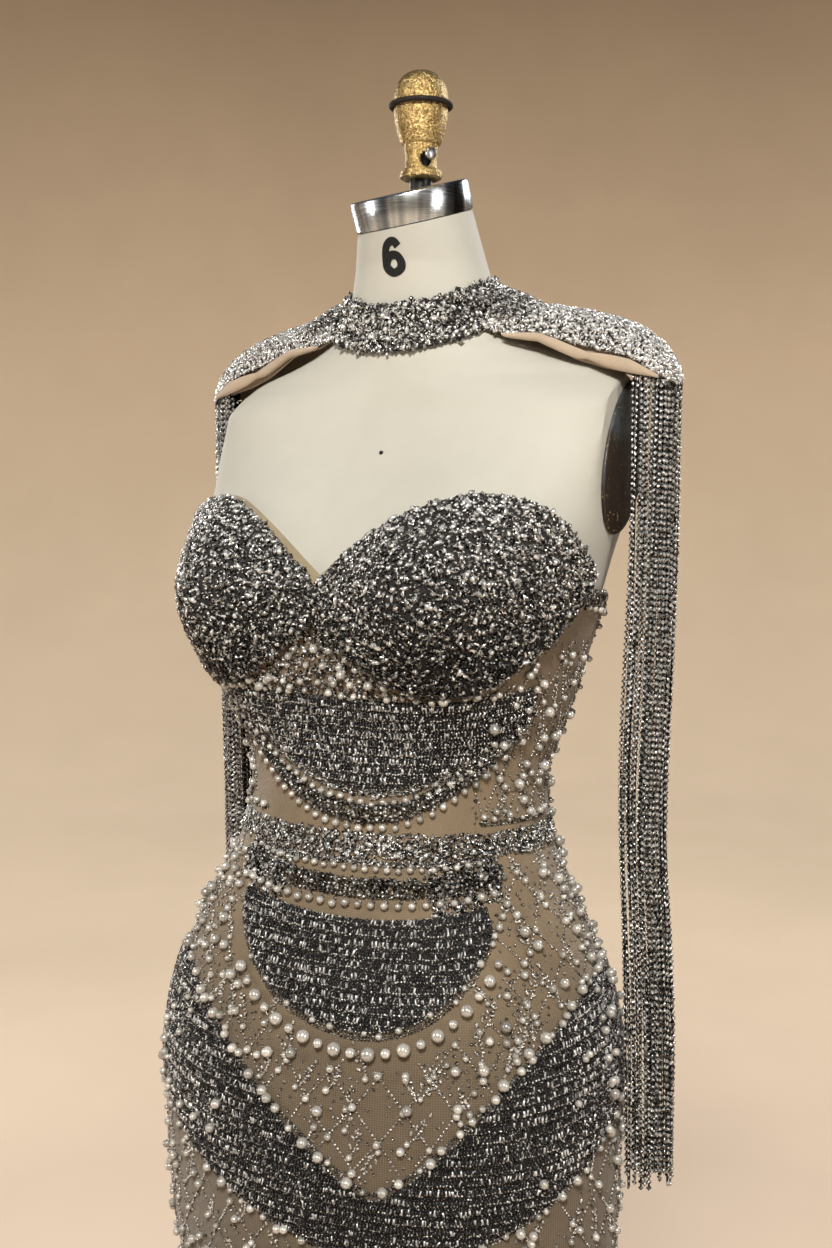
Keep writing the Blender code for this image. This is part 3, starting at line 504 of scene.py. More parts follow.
# Shader groups ---------------------------------------------------------------------------
def new_group(name, inputs, outputs):
    """An empty node group with named float, vector or colour sockets."""
    kinds = {"value": "NodeSocketFloat", "vector": "NodeSocketVector", "colour": "NodeSocketColor"}
    tree = bpy.data.node_groups.new(name, "ShaderNodeTree")
    for label, kind, start in inputs:
        socket = tree.interface.new_socket(label, in_out="INPUT", socket_type=kinds[kind])
        if start is not None:
            socket.default_value = start
    for label, kind in outputs:
        tree.interface.new_socket(label, in_out="OUTPUT", socket_type=kinds[kind])
    return tree, tree.nodes.new("NodeGroupInput"), tree.nodes.new("NodeGroupOutput")


def add(tree, kind, settings=(), **inputs):
    """A node of this kind; inputs are values, or the sockets of other nodes."""
    made = tree.nodes.new("ShaderNode" + kind)
    for label, value in dict(settings).items():
        setattr(made, label, value)
    for label, value in inputs.items():
        socket = made.inputs[int(label[1:])] if label[0] == "i" and label[1:].isdigit() else made.inputs[
            label.replace("_", " ")]
        if isinstance(value, bpy.types.NodeSocket):
            tree.links.new(value, socket)
        else:
            socket.default_value = value
    return made


def maths(tree, operation, *values):
    """One sum of a Math node, as its output socket."""
    return add(tree, "Math", {"operation": operation}, **{f"i{n}": v for n, v in enumerate(values)}).outputs[0]


def ramp(tree, value, stops):
    """A colour ramp read at value; stops are (place, colour)."""
    made = add(tree, "ValToRGB", i0=value)
    band_of = made.color_ramp.elements
    while len(band_of) < len(stops):
        band_of.new(0.5)
    for element, (at, colour) in zip(band_of, stops):
        element.position = at
        element.color = (*colour, 1.0)
    return made.outputs[0]


def weave_group():
    """Threads over and under: two sine waves across each other, and how high the upper one stands."""
    tree, start, end = new_group(
        "weave", (("Vector", "vector", None), ("Threads", "value", 1500.0)), (("Height", "value"), ("Mask", "value")))
    split = add(tree, "SeparateXYZ", Vector=start.outputs["Vector"])
    waves = []
    for axis in (0, 1):
        turns = maths(tree, "MULTIPLY", split.outputs[axis], start.outputs["Threads"])
        waves.append(maths(tree, "ABSOLUTE", maths(tree, "SINE", turns)))
    tree.links.new(maths(tree, "MAXIMUM", *waves), end.inputs["Height"])
    tree.links.new(maths(tree, "MULTIPLY", *waves), end.inputs["Mask"])
    return tree


def mottle_group():
    """Uneven tone: two sizes of noise, brought to the range from Low to High."""
    tree, start, end = new_group(
        "mottle", (("Vector", "vector", None), ("Scale", "value", 20.0), ("Low", "value", 0.0), ("High", "value", 1.0)),
        (("Value", "value"),))
    coarse = add(tree, "TexNoise", Vector=start.outputs["Vector"], Scale=start.outputs["Scale"], Detail=3.0)
    finer = add(tree, "TexNoise", Vector=start.outputs["Vector"],
                Scale=maths(tree, "MULTIPLY", start.outputs["Scale"], 6.0), Detail=2.0)
    mixed = maths(tree, "MULTIPLY_ADD", coarse.outputs[0], 0.7, maths(tree, "MULTIPLY", finer.outputs[0], 0.3))
    spread = add(tree, "MapRange", Value=mixed, From_Min=0.35, From_Max=0.65, To_Min=start.outputs["Low"],
                 To_Max=start.outputs["High"])
    tree.links.new(spread.outputs[0], end.inputs["Value"])
    return tree


def net_group():
    """Fine net: the distance to the edges of small cells, as thread where it is short."""
    tree, start, end = new_group(
        "net", (("Vector", "vector", None), ("Scale", "value", 700.0)), (("Thread", "value"), ("Height", "value")))
    cells = add(tree, "TexVoronoi", {"feature": "DISTANCE_TO_EDGE", "voronoi_dimensions": "2D"},
                Vector=start.outputs["Vector"], Scale=start.outputs["Scale"], Randomness=0.25)
    thread = add(tree, "MapRange", Value=cells.outputs["Distance"], From_Min=0.04, From_Max=0.16,
                 To_Min=1.0, To_Max=0.0)
    tree.links.new(thread.outputs[0], end.inputs["Thread"])
    tree.links.new(thread.outputs[0], end.inputs["Height"])
    return tree


GROUPS = {"weave": weave_group(), "mottle": mottle_group(), "net": net_group()}


def use(tree, group, **inputs):
    made = tree.nodes.new("ShaderNodeGroup")
    made.node_tree = GROUPS[group]
    for label, value in inputs.items():
        if isinstance(value, bpy.types.NodeSocket):
            tree.links.new(value, made.inputs[label])
        else:
            made.inputs[label].default_value = value
    return made.outputs


# Materials ---------------------------------------------------------------------------------
def new_finish(name, rough=0.5, metal=0.0, **constants):
    """A material with its Principled shader and its Object coordinates."""
    made = bpy.data.materials.new(name)
    made.use_nodes = True
    tree = made.node_tree
    shader = tree.nodes["Principled BSDF"]
    shader.inputs["Roughness"].default_value = rough
    shader.inputs["Metallic"].default_value = metal
    for label, value in constants.items():
        shader.inputs[label.replace("_", " ")].default_value = value
    coordinates = add(tree, "TexCoord")
    return made, tree, shader, coordinates.outputs["Object"], coordinates.outputs["UV"]


def mix(tree, factor, first, second, mode="MIX"):
    made = add(tree, "Mix", {"data_type": "RGBA", "blend_type": mode})
    for socket, value in ((made.inputs[0], factor), (made.inputs[6], first), (made.inputs[7], second)):
        if isinstance(value, bpy.types.NodeSocket):
            tree.links.new(value, socket)
        else:
            socket.default_value = value if not isinstance(value, tuple) else (*value, 1.0)
    return made.outputs[2]


def bump(tree, shader, height, strength, distance):
    made = add(tree, "Bump", Height=height, Strength=strength, Distance=distance)
    tree.links.new(made.outputs[0], shader.inputs["Normal"])


def stone_finish(name, stops, rough, metal, **constants):
    """Cut stones: each facet's colour comes from its tone, and its polish strays a little."""
    made, tree, shader, place_at, _ = new_finish(name, rough, metal, **constants)
    tone = add(tree, "Attribute", {"attribute_type": "GEOMETRY", "attribute_name": "tone"}).outputs["Fac"]
    tree.links.new(ramp(tree, tone, stops), shader.inputs["Base Color"])
    polish = use(tree, "mottle", Vector=place_at, Scale=90.0, Low=rough * 0.7, High=rough * 1.5)
    tree.links.new(polish["Value"], shader.inputs["Roughness"])
    return made


def crystal_finish():
    return stone_finish("crystal", (
        (0.0, (0.006, 0.005, 0.005)), (0.32, (0.030, 0.027, 0.025)), (0.52, (0.14, 0.132, 0.125)),
        (0.70, (0.40, 0.385, 0.37)), (0.86, (0.90, 0.89, 0.87)), (1.0, (1.0, 1.0, 1.0)),
    ), 0.12, 0.70, Coat_Weight=0.5, Coat_Roughness=0.04)


def hematite_finish():
    return stone_finish("hematite", (
        (0.0, (0.005, 0.005, 0.007)), (0.45, (0.022, 0.022, 0.026)), (0.70, (0.10, 0.10, 0.11)),
        (0.86, (0.60, 0.60, 0.61)), (1.0, (1.0, 1.0, 1.0)),
    ), 0.16, 0.55, Coat_Weight=0.4, Coat_Roughness=0.06)


def silver_seed_finish():
    return stone_finish("silver_seed", (
        (0.0, (0.05, 0.04, 0.035)), (0.40, (0.25, 0.22, 0.19)), (0.70, (0.62, 0.58, 0.53)), (1.0, (1.0, 0.98, 0.95)),
    ), 0.18, 0.55, Coat_Weight=0.3, Coat_Roughness=0.08)


def pearl_finish():
    """Silvery pearl: a body tone for each bead under a clear skin."""
    return stone_finish("pearl", (
        (0.0, (0.26, 0.25, 0.23)), (0.5, (0.56, 0.54, 0.50)), (1.0, (0.92, 0.89, 0.84)),
    ), 0.20, 0.45, Coat_Weight=0.8, Coat_Roughness=0.06)


def cloth_finish(name, colour, dark, threads, strength, sheen=0.3):
    """Woven cloth: threads in the UV map's metres, and an uneven tone."""
    made, tree, shader, place_at, uv = new_finish(name, 0.8, 0.0, Sheen_Weight=sheen, Sheen_Roughness=0.5)
    weave = use(tree, "weave", Vector=uv, Threads=threads)
    tone = use(tree, "mottle", Vector=place_at, Scale=26.0, Low=0.0, High=1.0)
    base = mix(tree, tone["Value"], colour, dark)
    base = mix(tree, maths(tree, "MULTIPLY", weave["Mask"], 0.25), base, tuple(0.6 * c for c in dark))
    tree.links.new(base, shader.inputs["Base Color"])
    bump(tree, shader, weave["Height"], strength, 0.0003)
    return made


def net_finish():
    """Taupe net over a nude lining: pale thread on a darker ground, soft and matt."""
    made, tree, shader, place_at, uv = new_finish("net", 0.75, 0.0, Sheen_Weight=0.35, Sheen_Roughness=0.4)
    net = use(tree, "net", Vector=uv, Scale=620.0)
    tone = use(tree, "mottle", Vector=place_at, Scale=14.0, Low=0.0, High=1.0)
    ground = mix(tree, tone["Value"], (0.235, 0.172, 0.105), (0.160, 0.112, 0.066))
    height = add(tree, "SeparateXYZ", Vector=place_at).outputs[2]
    low = add(tree, "MapRange", Value=height, From_Min=0.92, From_Max=1.00, To_Min=0.62, To_Max=0.0).outputs[0]
    ground = mix(tree, low, ground, (0.060, 0.044, 0.030))
    tree.links.new(mix(tree, maths(tree, "MULTIPLY", net["Thread"], 0.40), ground, (0.30, 0.24, 0.16)),
                   shader.inputs["Base Color"])
    bump(tree, shader, net["Height"], 0.5, 0.0003)
    return made


def linen_finish():
    """The form's cover: cream, smooth and faintly woven, with a sewn seam down the centre back."""
    made, tree, shader, place_at, uv = new_finish("linen", 0.62, 0.0, Sheen_Weight=0.12, Sheen_Roughness=0.5)
    weave = use(tree, "weave", Vector=uv, Threads=3600.0)
    tone = use(tree, "mottle", Vector=place_at, Scale=9.0, Low=0.0, High=1.0)
    flat = add(tree, "SeparateXYZ", Vector=place_at).outputs
    line = add(tree, "MapRange", Value=maths(tree, "ABSOLUTE", flat[0]), From_Min=0.0003, From_Max=0.0011,
               To_Min=1.0, To_Max=0.0).outputs[0]
    seam = maths(tree, "MULTIPLY", line, maths(tree, "GREATER_THAN", flat[1], 0.0))
    base = mix(tree, tone["Value"], (0.555, 0.540, 0.480), (0.518, 0.502, 0.443))
    base = mix(tree, maths(tree, "MULTIPLY", seam, 0.2), base, (0.42, 0.35, 0.25))
    tree.links.new(base, shader.inputs["Base Color"])
    height = maths(tree, "SUBTRACT", maths(tree, "MULTIPLY", weave["Height"], 0.25), seam)
    bump(tree, shader, height, 0.35, 0.0004)
    return made


def chrome_finish():
    """Brushed band: bright metal with fine scratches that run round it, and painted reflections: dark and bright
    streaks in its colour round the band.
    """
    made, tree, shader, place_at, _ = new_finish("chrome", 0.25, 1.0)
    stretched = add(tree, "Mapping", Vector=place_at, Scale=(40.0, 40.0, 2600.0))
    scratches = add(tree, "TexNoise", Vector=stretched.outputs[0], Scale=1.0, Detail=4.0)
    rough = add(tree, "MapRange", Value=scratches.outputs[0], From_Min=0.3, From_Max=0.7, To_Min=0.16, To_Max=0.36)
    tree.links.new(rough.outputs[0], shader.inputs["Roughness"])
    flat = add(tree, "SeparateXYZ", Vector=place_at)
    # Painted reflection: the colour alternates dark and bright round the band, as reflections of the studio would.
    round_it = maths(tree, "ARCTAN2", maths(tree, "ADD", flat.outputs[1], 0.012), flat.outputs[0])
    painted_reflection_streaks = add(tree, "TexNoise", {"noise_dimensions": "1D"}, W=round_it, Scale=1.7, Detail=2.0)
    tree.links.new(ramp(tree, painted_reflection_streaks.outputs[0], (
        (0.34, (0.030, 0.034, 0.042)), (0.44, (0.26, 0.30, 0.36)), (0.52, (0.90, 0.96, 1.0)), (0.60, (0.52, 0.60, 0.72)),
        (0.70, (0.92, 0.97, 1.0)),
    )), shader.inputs["Base Color"])
    bump(tree, shader, scratches.outputs[0], 0.15, 0.0002)
    return made


def gold_finish():
    """Antique gold paint over a grained casting."""
    made, tree, shader, place_at, _ = new_finish("gold", 0.40, 1.0)
    grain = add(tree, "TexNoise", Vector=place_at, Scale=620.0, Detail=2.0, Roughness=0.6)
    tone = use(tree, "mottle", Vector=place_at, Scale=260.0, Low=0.0, High=1.0)
    speck = add(tree, "MapRange", Value=grain.outputs[0], From_Min=0.50, From_Max=0.64,
                To_Min=0.0, To_Max=0.75).outputs[0]
    base = mix(tree, tone["Value"], (0.84, 0.63, 0.29), (0.44, 0.29, 0.11))
    base = mix(tree, speck, base, (0.17, 0.095, 0.025))
    near = add(tree, "VectorMath", {"operation": "DISTANCE"}, i0=place_at,
               i1=(0.0105, -0.0098, 1.5535)).outputs["Value"]
    worn = maths(tree, "ADD", near, maths(tree, "MULTIPLY", grain.outputs[0], 0.005))
    chip = add(tree, "MapRange", Value=worn, From_Min=0.0078, From_Max=0.0088, To_Min=1.0, To_Max=0.0).outputs[0]
    tree.links.new(mix(tree, chip, base, (0.012, 0.012, 0.010)), shader.inputs["Base Color"])
    rough = add(tree, "MapRange", Value=grain.outputs[0], From_Min=0.3, From_Max=0.7, To_Min=0.24, To_Max=0.50)
    tree.links.new(rough.outputs[0], shader.inputs["Roughness"])
    bump(tree, shader, grain.outputs[0], 1.0, 0.0016)
    return made


def patina_finish():
    """Worn arm plate: near black brown, a blue-grey bloom in its upper half and a few gold flecks."""
    made, tree, shader, place_at, _ = new_finish("patina", 0.46, 0.0, Coat_Weight=0.1)
    height = add(tree, "SeparateXYZ", Vector=place_at).outputs[2]
    upper = add(tree, "MapRange", Value=height, From_Min=1.335, From_Max=1.352, To_Min=0.0, To_Max=1.0).outputs[0]
    cloud = add(tree, "TexNoise", Vector=place_at, Scale=55.0, Detail=6.0, Roughness=0.7)
    bloom = maths(tree, "MULTIPLY", upper, add(tree, "MapRange", Value=cloud.outputs[0], From_Min=0.42,
                                               From_Max=0.60, To_Min=0.0, To_Max=0.85).outputs[0])
    flecks = add(tree, "TexNoise", Vector=place_at, Scale=420.0, Detail=2.0)
    fleck = add(tree, "MapRange", Value=flecks.outputs[0], From_Min=0.66, From_Max=0.72, To_Min=0.0, To_Max=0.8)
    base = mix(tree, cloud.outputs[0], (0.005, 0.002, 0.001), (0.024, 0.012, 0.005))
    base = mix(tree, bloom, base, (0.060, 0.085, 0.095))
    tree.links.new(mix(tree, fleck.outputs[0], base, (0.55, 0.36, 0.12)), shader.inputs["Base Color"])
    bump(tree, shader, cloud.outputs[0], 0.5, 0.0015)
    return made


def plain_metal(name, colour, worn, rough, metal, grain):
    """Painted or plain metal: an uneven tone, and a grain in its polish and its surface."""
    made, tree, shader, place_at, _ = new_finish(name, rough, metal)
    tone = use(tree, "mottle", Vector=place_at, Scale=grain, Low=0.0, High=1.0)
    tree.links.new(mix(tree, tone["Value"], colour, worn), shader.inputs["Base Color"])
    polish = use(tree, "mottle", Vector=place_at, Scale=grain * 3, Low=rough * 0.75, High=min(1.0, rough * 1.35))
    tree.links.new(polish["Value"], shader.inputs["Roughness"])
    bump(tree, shader, tone["Value"], 0.2, 0.0003)
    return made


FINISHES = {
    "crystal": crystal_finish(),
    "hematite": hematite_finish(),
    "silver_seed": silver_seed_finish(),
    "pearl": pearl_finish(),
    "net": net_finish(),
    "backing": cloth_finish("backing", (0.016, 0.014, 0.013), (0.006, 0.005, 0.005), 3200.0, 0.4, 0.02),
    "lining": cloth_finish("lining", (0.54, 0.42, 0.31), (0.45, 0.35, 0.255), 4200.0, 0.3),
    "facing": cloth_finish("facing", (0.40, 0.325, 0.205), (0.30, 0.245, 0.155), 2200.0, 0.4),
    "linen": linen_finish(),
    "chrome": chrome_finish(),
    "gold": gold_finish(),
    "patina": patina_finish(),
    "rubber": plain_metal("rubber", (0.016, 0.008, 0.005), (0.008, 0.004, 0.003), 0.7, 0.0, 200.0),
    "black_metal": plain_metal("black_metal", (0.022, 0.022, 0.022), (0.045, 0.043, 0.040), 0.38, 0.7, 80.0),
    "iron": plain_metal("iron", (0.030, 0.030, 0.031), (0.060, 0.057, 0.054), 0.55, 0.5, 60.0),
    "steel": plain_metal("steel", (0.62, 0.62, 0.63), (0.48, 0.48, 0.49), 0.28, 1.0, 300.0),
    "ink": plain_metal("ink", (0.002, 0.002, 0.002), (0.006, 0.006, 0.005), 0.85, 0.0, 250.0),
}


# Camera, lights and floor -------------------------------------------------------------------
def build_camera():
    """Eye height, 30 degrees round to the wearer's left, looking down a little."""
    azimuth, pitch = math.radians(30), math.radians(-4.3)
    width_px, height_px, focal_px, centre_px = 832, 1248, 1440.0, 421.0
    data = bpy.data.cameras.new("camera")
    data.sensor_fit = "VERTICAL"
    data.sensor_height = 36.0
    data.lens = focal_px / height_px * data.sensor_height
    data.shift_x = -(centre_px - width_px / 2) / height_px
    data.clip_start, data.clip_end = 0.05, 60.0
    camera = bpy.data.objects.new("camera", data)
    camera.location = (0.55, -0.9526, 1.29)
    ahead = Vector((-math.sin(azimuth) * math.cos(pitch), math.cos(azimuth) * math.cos(pitch), math.sin(pitch)))
    camera.rotation_euler = ahead.to_track_quat("-Z", "Y").to_euler()
    bpy.context.scene.collection.objects.link(camera)
    bpy.context.scene.camera = camera


def build_light(name, place_at, aim, size, watts, colour=(1.0, 1.0, 1.0)):
    data = bpy.data.lights.new(name, "AREA")
    data.shape = "RECTANGLE"
    data.size, data.size_y = size
    data.energy = watts
    data.color = colour
    light = bpy.data.objects.new(name, data)
    light.location = place_at
    light.rotation_euler = (Vector(aim) - Vector(place_at)).to_track_quat("-Z", "Y").to_euler()
    bpy.context.scene.collection.objects.link(light)


def backdrop_painted_light_finish():
    """Warm matt paint with painted light: palest on the floor, darker with height and a mid tone far off as painted
    shade, and a painted glow that only camera rays see.
    """
    made, tree, shader, place_at, _ = new_finish("floor_paint_and_painted_light", 0.9)
    height = add(tree, "SeparateXYZ", Vector=place_at).outputs[2]
    share = add(tree, "MapRange", Value=height, From_Min=0.0, From_Max=4.5).outputs[0]
    tone = use(tree, "mottle", Vector=place_at, Scale=0.6, Low=0.96, High=1.04)
    # Painted shade: the paint darkens with height, and far from the form it turns to one mid tone, in place of the
    # light's falloff.
    paint = ramp(tree, share, (
        (0.0, (0.93, 0.745, 0.54)), (0.09, (0.86, 0.68, 0.485)), (0.5, (0.70, 0.525, 0.35)), (1.0, (0.33, 0.23, 0.14))))
    away = add(tree, "VectorMath", {"operation": "LENGTH"}, i0=place_at).outputs["Value"]
    far = add(tree, "MapRange", Value=away, From_Min=1.8, From_Max=3.6, To_Min=0.0, To_Max=1.0).outputs[0]
    paint = mix(tree, far, (0.62, 0.49, 0.37), paint)
    shade = add(tree, "CombineColor", Red=tone["Value"], Green=tone["Value"], Blue=tone["Value"]).outputs[0]
    painted = mix(tree, 1.0, paint, shade, "MULTIPLY")
    tree.links.new(painted, shader.inputs["Base Color"])
    tree.links.new(painted, shader.inputs["Emission Color"])
    # Painted glow: the paint's own colour also emits light, for camera rays only.
    painted_glow_camera_ray = add(tree, "LightPath").outputs["Is Camera Ray"]
    tree.links.new(maths(tree, "MULTIPLY", painted_glow_camera_ray, 0.50), shader.inputs["Emission Strength"])
    return made


def build_studio():
    """A warm pale floor that sweeps up all round, a large soft light in front and smaller ones round about."""
    flat, sweep, tall, sides = 5.0, 3.0, 6.0, 96
    turn = np.linspace(0, np.pi / 2, 16)
    profile = [(0.5, 0.0), (flat, 0.0), *((flat + sweep * math.sin(a), sweep - sweep * math.cos(a)) for a in turn[1:]),
               (flat + sweep, tall)]
    around = np.linspace(0, 2 * np.pi, sides, endpoint=False)
    points = [(0.0, 0.0, 0.0)]
    points += [(radius * math.cos(a), radius * math.sin(a), height) for radius, height in profile for a in around]
    i = np.arange(sides)
    j = (i + 1) % sides
    faces = [np.stack([np.zeros(sides, int), 1 + i, 1 + j], -1)]
    faces += [1 + band(n * sides, (n + 1) * sides, sides)[:, ::-1] for n in range(len(profile) - 1)]
    floor = mesh_object("floor", np.array(points), np.concatenate(faces), None, True, 60.0)
    floor.data.materials.append(backdrop_painted_light_finish())
    world = bpy.data.worlds.new("studio")
    world.use_nodes = True
    tree = world.node_tree
    direction = add(tree, "TexCoord").outputs["Generated"]
    rise = add(tree, "SeparateXYZ", Vector=direction).outputs[2]
    share = add(tree, "MapRange", Value=rise, From_Min=-0.35, From_Max=0.45).outputs[0]
    sky = ramp(tree, share, ((0.0, (0.42, 0.43, 0.45)), (0.5, (0.55, 0.57, 0.60)), (1.0, (0.80, 0.83, 0.88))))
    background = tree.nodes["Background"]
    tree.links.new(sky, background.inputs["Color"])
    background.inputs["Strength"].default_value = 0.12
    bpy.context.scene.world = world
    aim = (0, 0, 1.15)
    build_light("key", (1.0, -2.3, 3.1), aim, (0.6, 0.6), 104, (1.0, 0.96, 0.88))
    build_light("fill", (-2.5, -1.9, 1.7), aim, (0.6, 1.6), 26, (1.0, 0.97, 0.91))
    build_light("side", (2.7, -0.5, 1.6), aim, (0.4, 1.5), 17, (1.0, 0.98, 0.94))
    build_light("back", (0.6, 2.6, 2.6), aim, (1.2, 0.8), 26)
    build_light("rim", (-2.4, 1.4, 1.8), aim, (0.4, 1.3), 14)
    bpy.context.scene.view_settings.view_transform = "Standard"


build_camera()
build_studio()


# Dress form and stand -----------------------------------------------------------------------
def leaning_ring(centre, radius, turns):
    """A circle square to the neck cap's lean, whose points start in front and run towards +X."""
    right = unit(np.array((1.0, 0, 0)) - CAP_LEAN * CAP_LEAN[0])
    ahead = unit(np.cross(CAP_LEAN, right))
    turn = np.radians(turns)[:, None]
    return centre + right * radius * np.sin(turn) - ahead * radius * np.cos(turn)


def build_form():
    """The cover: figure sections with flat sides, then a neck that leans over to the cap's seat."""
    t = np.arange(0, 360, 3.0)
    levels = np.concatenate([np.arange(FORM_BOTTOM, 1.36, 0.010), np.arange(1.36, NECK_TOP, 0.004), [NECK_TOP]])
    z, grid_t = np.broadcast_arrays(levels[:, None], t[None, :])
    body = skin(grid_t, z, np.full(z.shape, -FORM_UNDER), FORM_BUST)
    body[..., 0] = np.clip(body[..., 0], -ARM_FLAT, ARM_FLAT)
    top = leaning_ring(CAP_SEAT, NECK_RADIUS, t)
    share = np.linspace(0, 1, 9)[1:, None, None]
    points = np.concatenate([body, body[-1][None] * (1 - share) + top[None] * share])
    rows, columns = points.shape[:2]
    i, r = np.meshgrid(np.arange(columns), np.arange(rows - 1))
    j = (i + 1) % columns
    a, b, c, d = r * columns + i, r * columns + j, (r + 1) * columns + j, (r + 1) * columns + i
    tris = np.concatenate([np.stack([a, b, c], -1).reshape(-1, 3), np.stack([a, c, d], -1).reshape(-1, 3)])
    foot, head = rows * columns, rows * columns + 1
    first = np.arange(columns)
    last = first + (rows - 1) * columns
    ends = np.concatenate([np.stack([np.roll(first, -1), first, np.full(columns, foot)], -1),
                           np.stack([last, np.roll(last, -1), np.full(columns, head)], -1)])
    poles = np.array([points[0].mean(0), points[-1].mean(0)])
    uv = np.stack([np.broadcast_to(t / 360, (rows, columns)), points[..., 2]], -1).reshape(-1, 2)
    uv = np.concatenate([uv * (0.9, 1), [(0, 0), (0, 0)]])
    form = mesh_object("form_cover", np.concatenate([points.reshape(-1, 3), poles]),
                       np.concatenate([tris, ends]), uv, True, 42.0)
    place(form, "linen", ("form_torso",))


def build_arm_plates():
    """Oval plates: rings from the rim to the middle, with a rounded edge."""
    sides = 64
    turn = np.linspace(0, 2 * np.pi, sides, endpoint=False)
    tilt = math.radians(PLATE_TILT)
    profile = ((GAP, 1.0), (PLATE_THICK * 0.55, 1.0), (PLATE_THICK * 0.85, 0.985), (PLATE_THICK, 0.95),
               (PLATE_THICK * 0.9, 0.7), (PLATE_THICK * 0.75, 0.35))
    for name, sign in (("left", 1), ("right", -1)):
        rings = []
        for off, share in profile:
            deep, tall = PLATE_HALF[0] * share * np.cos(turn), PLATE_HALF[1] * share * np.sin(turn)
            y = PLATE_CENTRE[0] + deep * math.cos(tilt) + tall * math.sin(tilt)
            z = PLATE_CENTRE[1] - deep * math.sin(tilt) + tall * math.cos(tilt)
            rings.append(np.stack([np.full(sides, sign * (ARM_FLAT + off)), y, z], -1))
        points = np.concatenate([*rings, [(sign * (ARM_FLAT + GAP), *PLATE_CENTRE)],
                                 [(sign * (ARM_FLAT + PLATE_THICK * 0.7), *PLATE_CENTRE)]])
        i = np.arange(sides)
        j = (i + 1) % sides
        last = (len(profile) - 1) * sides
        faces = [band(n * sides, (n + 1) * sides, sides) for n in range(len(profile) - 1)]
        faces.append(np.stack([j, i, np.full(sides, len(points) - 2)], -1))
        faces.append(np.stack([last + i, last + j, np.full(sides, len(points) - 1)], -1))
        faces = np.concatenate(faces)
        plate = mesh_object("arm_plate_face_" + name, points, faces if sign > 0 else faces[:, ::-1], None, True, 60.0)
        place(plate, "patina", ("arm_plate_" + name,))


def to_neck_cap(height):
    """Matrix that stands a turned piece on the neck, leaning as the cap does."""
    turn = Vector((0, 0, 1)).rotation_difference(Vector(CAP_LEAN)).to_matrix().to_4x4()
    turn.translation = Vector(CAP_SEAT + CAP_LEAN * height)
    return turn


def build_neck_cap():
    tall, wide = NECK_CAP_TALL, NECK_CAP_RADIUS
    cap = turned("neck_cap_band", (
        (wide - 0.0020, 0.0), (wide - 0.0006, 0.0004), (wide, 0.0014), (wide, tall - 0.0016),
        (wide - 0.0005, tall - 0.0006), (wide - 0.0016, tall - 0.0001), (wide - 0.0030, tall), (0.012, tall),
    ), 128)
    moved(cap, to_neck_cap(GAP))
    place(cap, "chrome", ("neck_cap",))


def build_finial():
    """Turned knob, the band in its groove, its set screw and the post under it."""
    foot = 1.5405
    start = [(0.0120, 0.0), (0.0140, 0.0002), (0.0156, 0.0012), (0.0159, 0.0036), (0.0154, 0.0058), (0.0130, 0.0068),
             (0.0121, 0.0080), (0.0119, 0.0130), (0.0122, 0.0210), (0.0128, 0.0250), (0.0148, 0.0262)]
    lower = curve_through(((0.0150, 0.0266), (0.0164, 0.0298), (0.0184, 0.0362), (0.0198, 0.0440), (0.0203, 0.0500)), 24)
    groove = [(0.0201, 0.0520), (0.0200, 0.0560)]
    turn = np.linspace(0, np.pi / 2, 22)[:-1]
    dome = [(0.0203 * math.cos(a) ** 0.8, 0.0580 + 0.0215 * math.sin(a)) for a in turn]
    profile = np.array(start + list(zip(*lower)) + groove + dome + [(0.0004, 0.0795)])
    knob = turned("finial_knob", profile + (0, foot), 96, 50.0)
    place(knob, "gold", ("finial",))

    band_radius, band_half, around = 0.0222, 0.0019, 14
    a = np.linspace(0, 2 * np.pi, 96, endpoint=False)[:, None]
    b = np.linspace(0, 2 * np.pi, around, endpoint=False)[None, :]
    radius = band_radius + band_half * np.cos(b)
    points = np.stack([radius * np.cos(a), radius * np.sin(a), np.broadcast_to(foot + 0.054 + band_half * np.sin(b),
                                                                                 (96, around))], -1)
    index = np.arange(96 * around).reshape(96, around)
    quads = np.stack([index, np.roll(index, -1, 0), np.roll(index, (-1, -1), (0, 1)), np.roll(index, -1, 1)], -1)
    ring_piece = mesh_object("finial_ring", points.reshape(-1, 3), quads.reshape(-1, 4))
    place(ring_piece, "rubber", ("finial_band",))

    screw = turned("set_screw", ((0.0036, 0.0), (0.0046, 0.0003), (0.0046, 0.0014), (0.0041, 0.0026), (0.0028, 0.0032),
                                 (0.0014, 0.0034), (0.0003, 0.0034)), 40)
    screw_turn = -0.489
    screw_way = Vector((math.cos(screw_turn), math.sin(screw_turn), 0))
    turn_to = Vector((0, 0, 1)).rotation_difference(screw_way).to_matrix()
    turn_to = turn_to.to_4x4()
    turn_to.translation = screw_way * 0.0127 + Vector((0, 0, foot + 0.0168))
    moved(screw, turn_to)
    place(screw, "steel", ("finial_screw",))

    sides, post_radius, post_top = 48, 0.0085, foot - GAP
    around = np.linspace(0, 2 * np.pi, sides, endpoint=False)
    x, y = post_radius * np.cos(around), post_radius * np.sin(around)
    seat = CAP_SEAT + CAP_LEAN * (NECK_CAP_TALL + 2.5 * GAP)
    drop = (CAP_LEAN[0] * (x - seat[0]) + CAP_LEAN[1] * (y - seat[1])) / CAP_LEAN[2]
    points = np.concatenate([np.stack([x, y, seat[2] - drop], -1), np.stack([x, y, np.full(sides, post_top)], -1)])
    post = mesh_object("finial_post", points, np.concatenate([band(0, sides, sides), fan(0, sides, False),
                                                               fan(sides, sides, True)]))
    place(post, "black_metal", ("cap_post",))


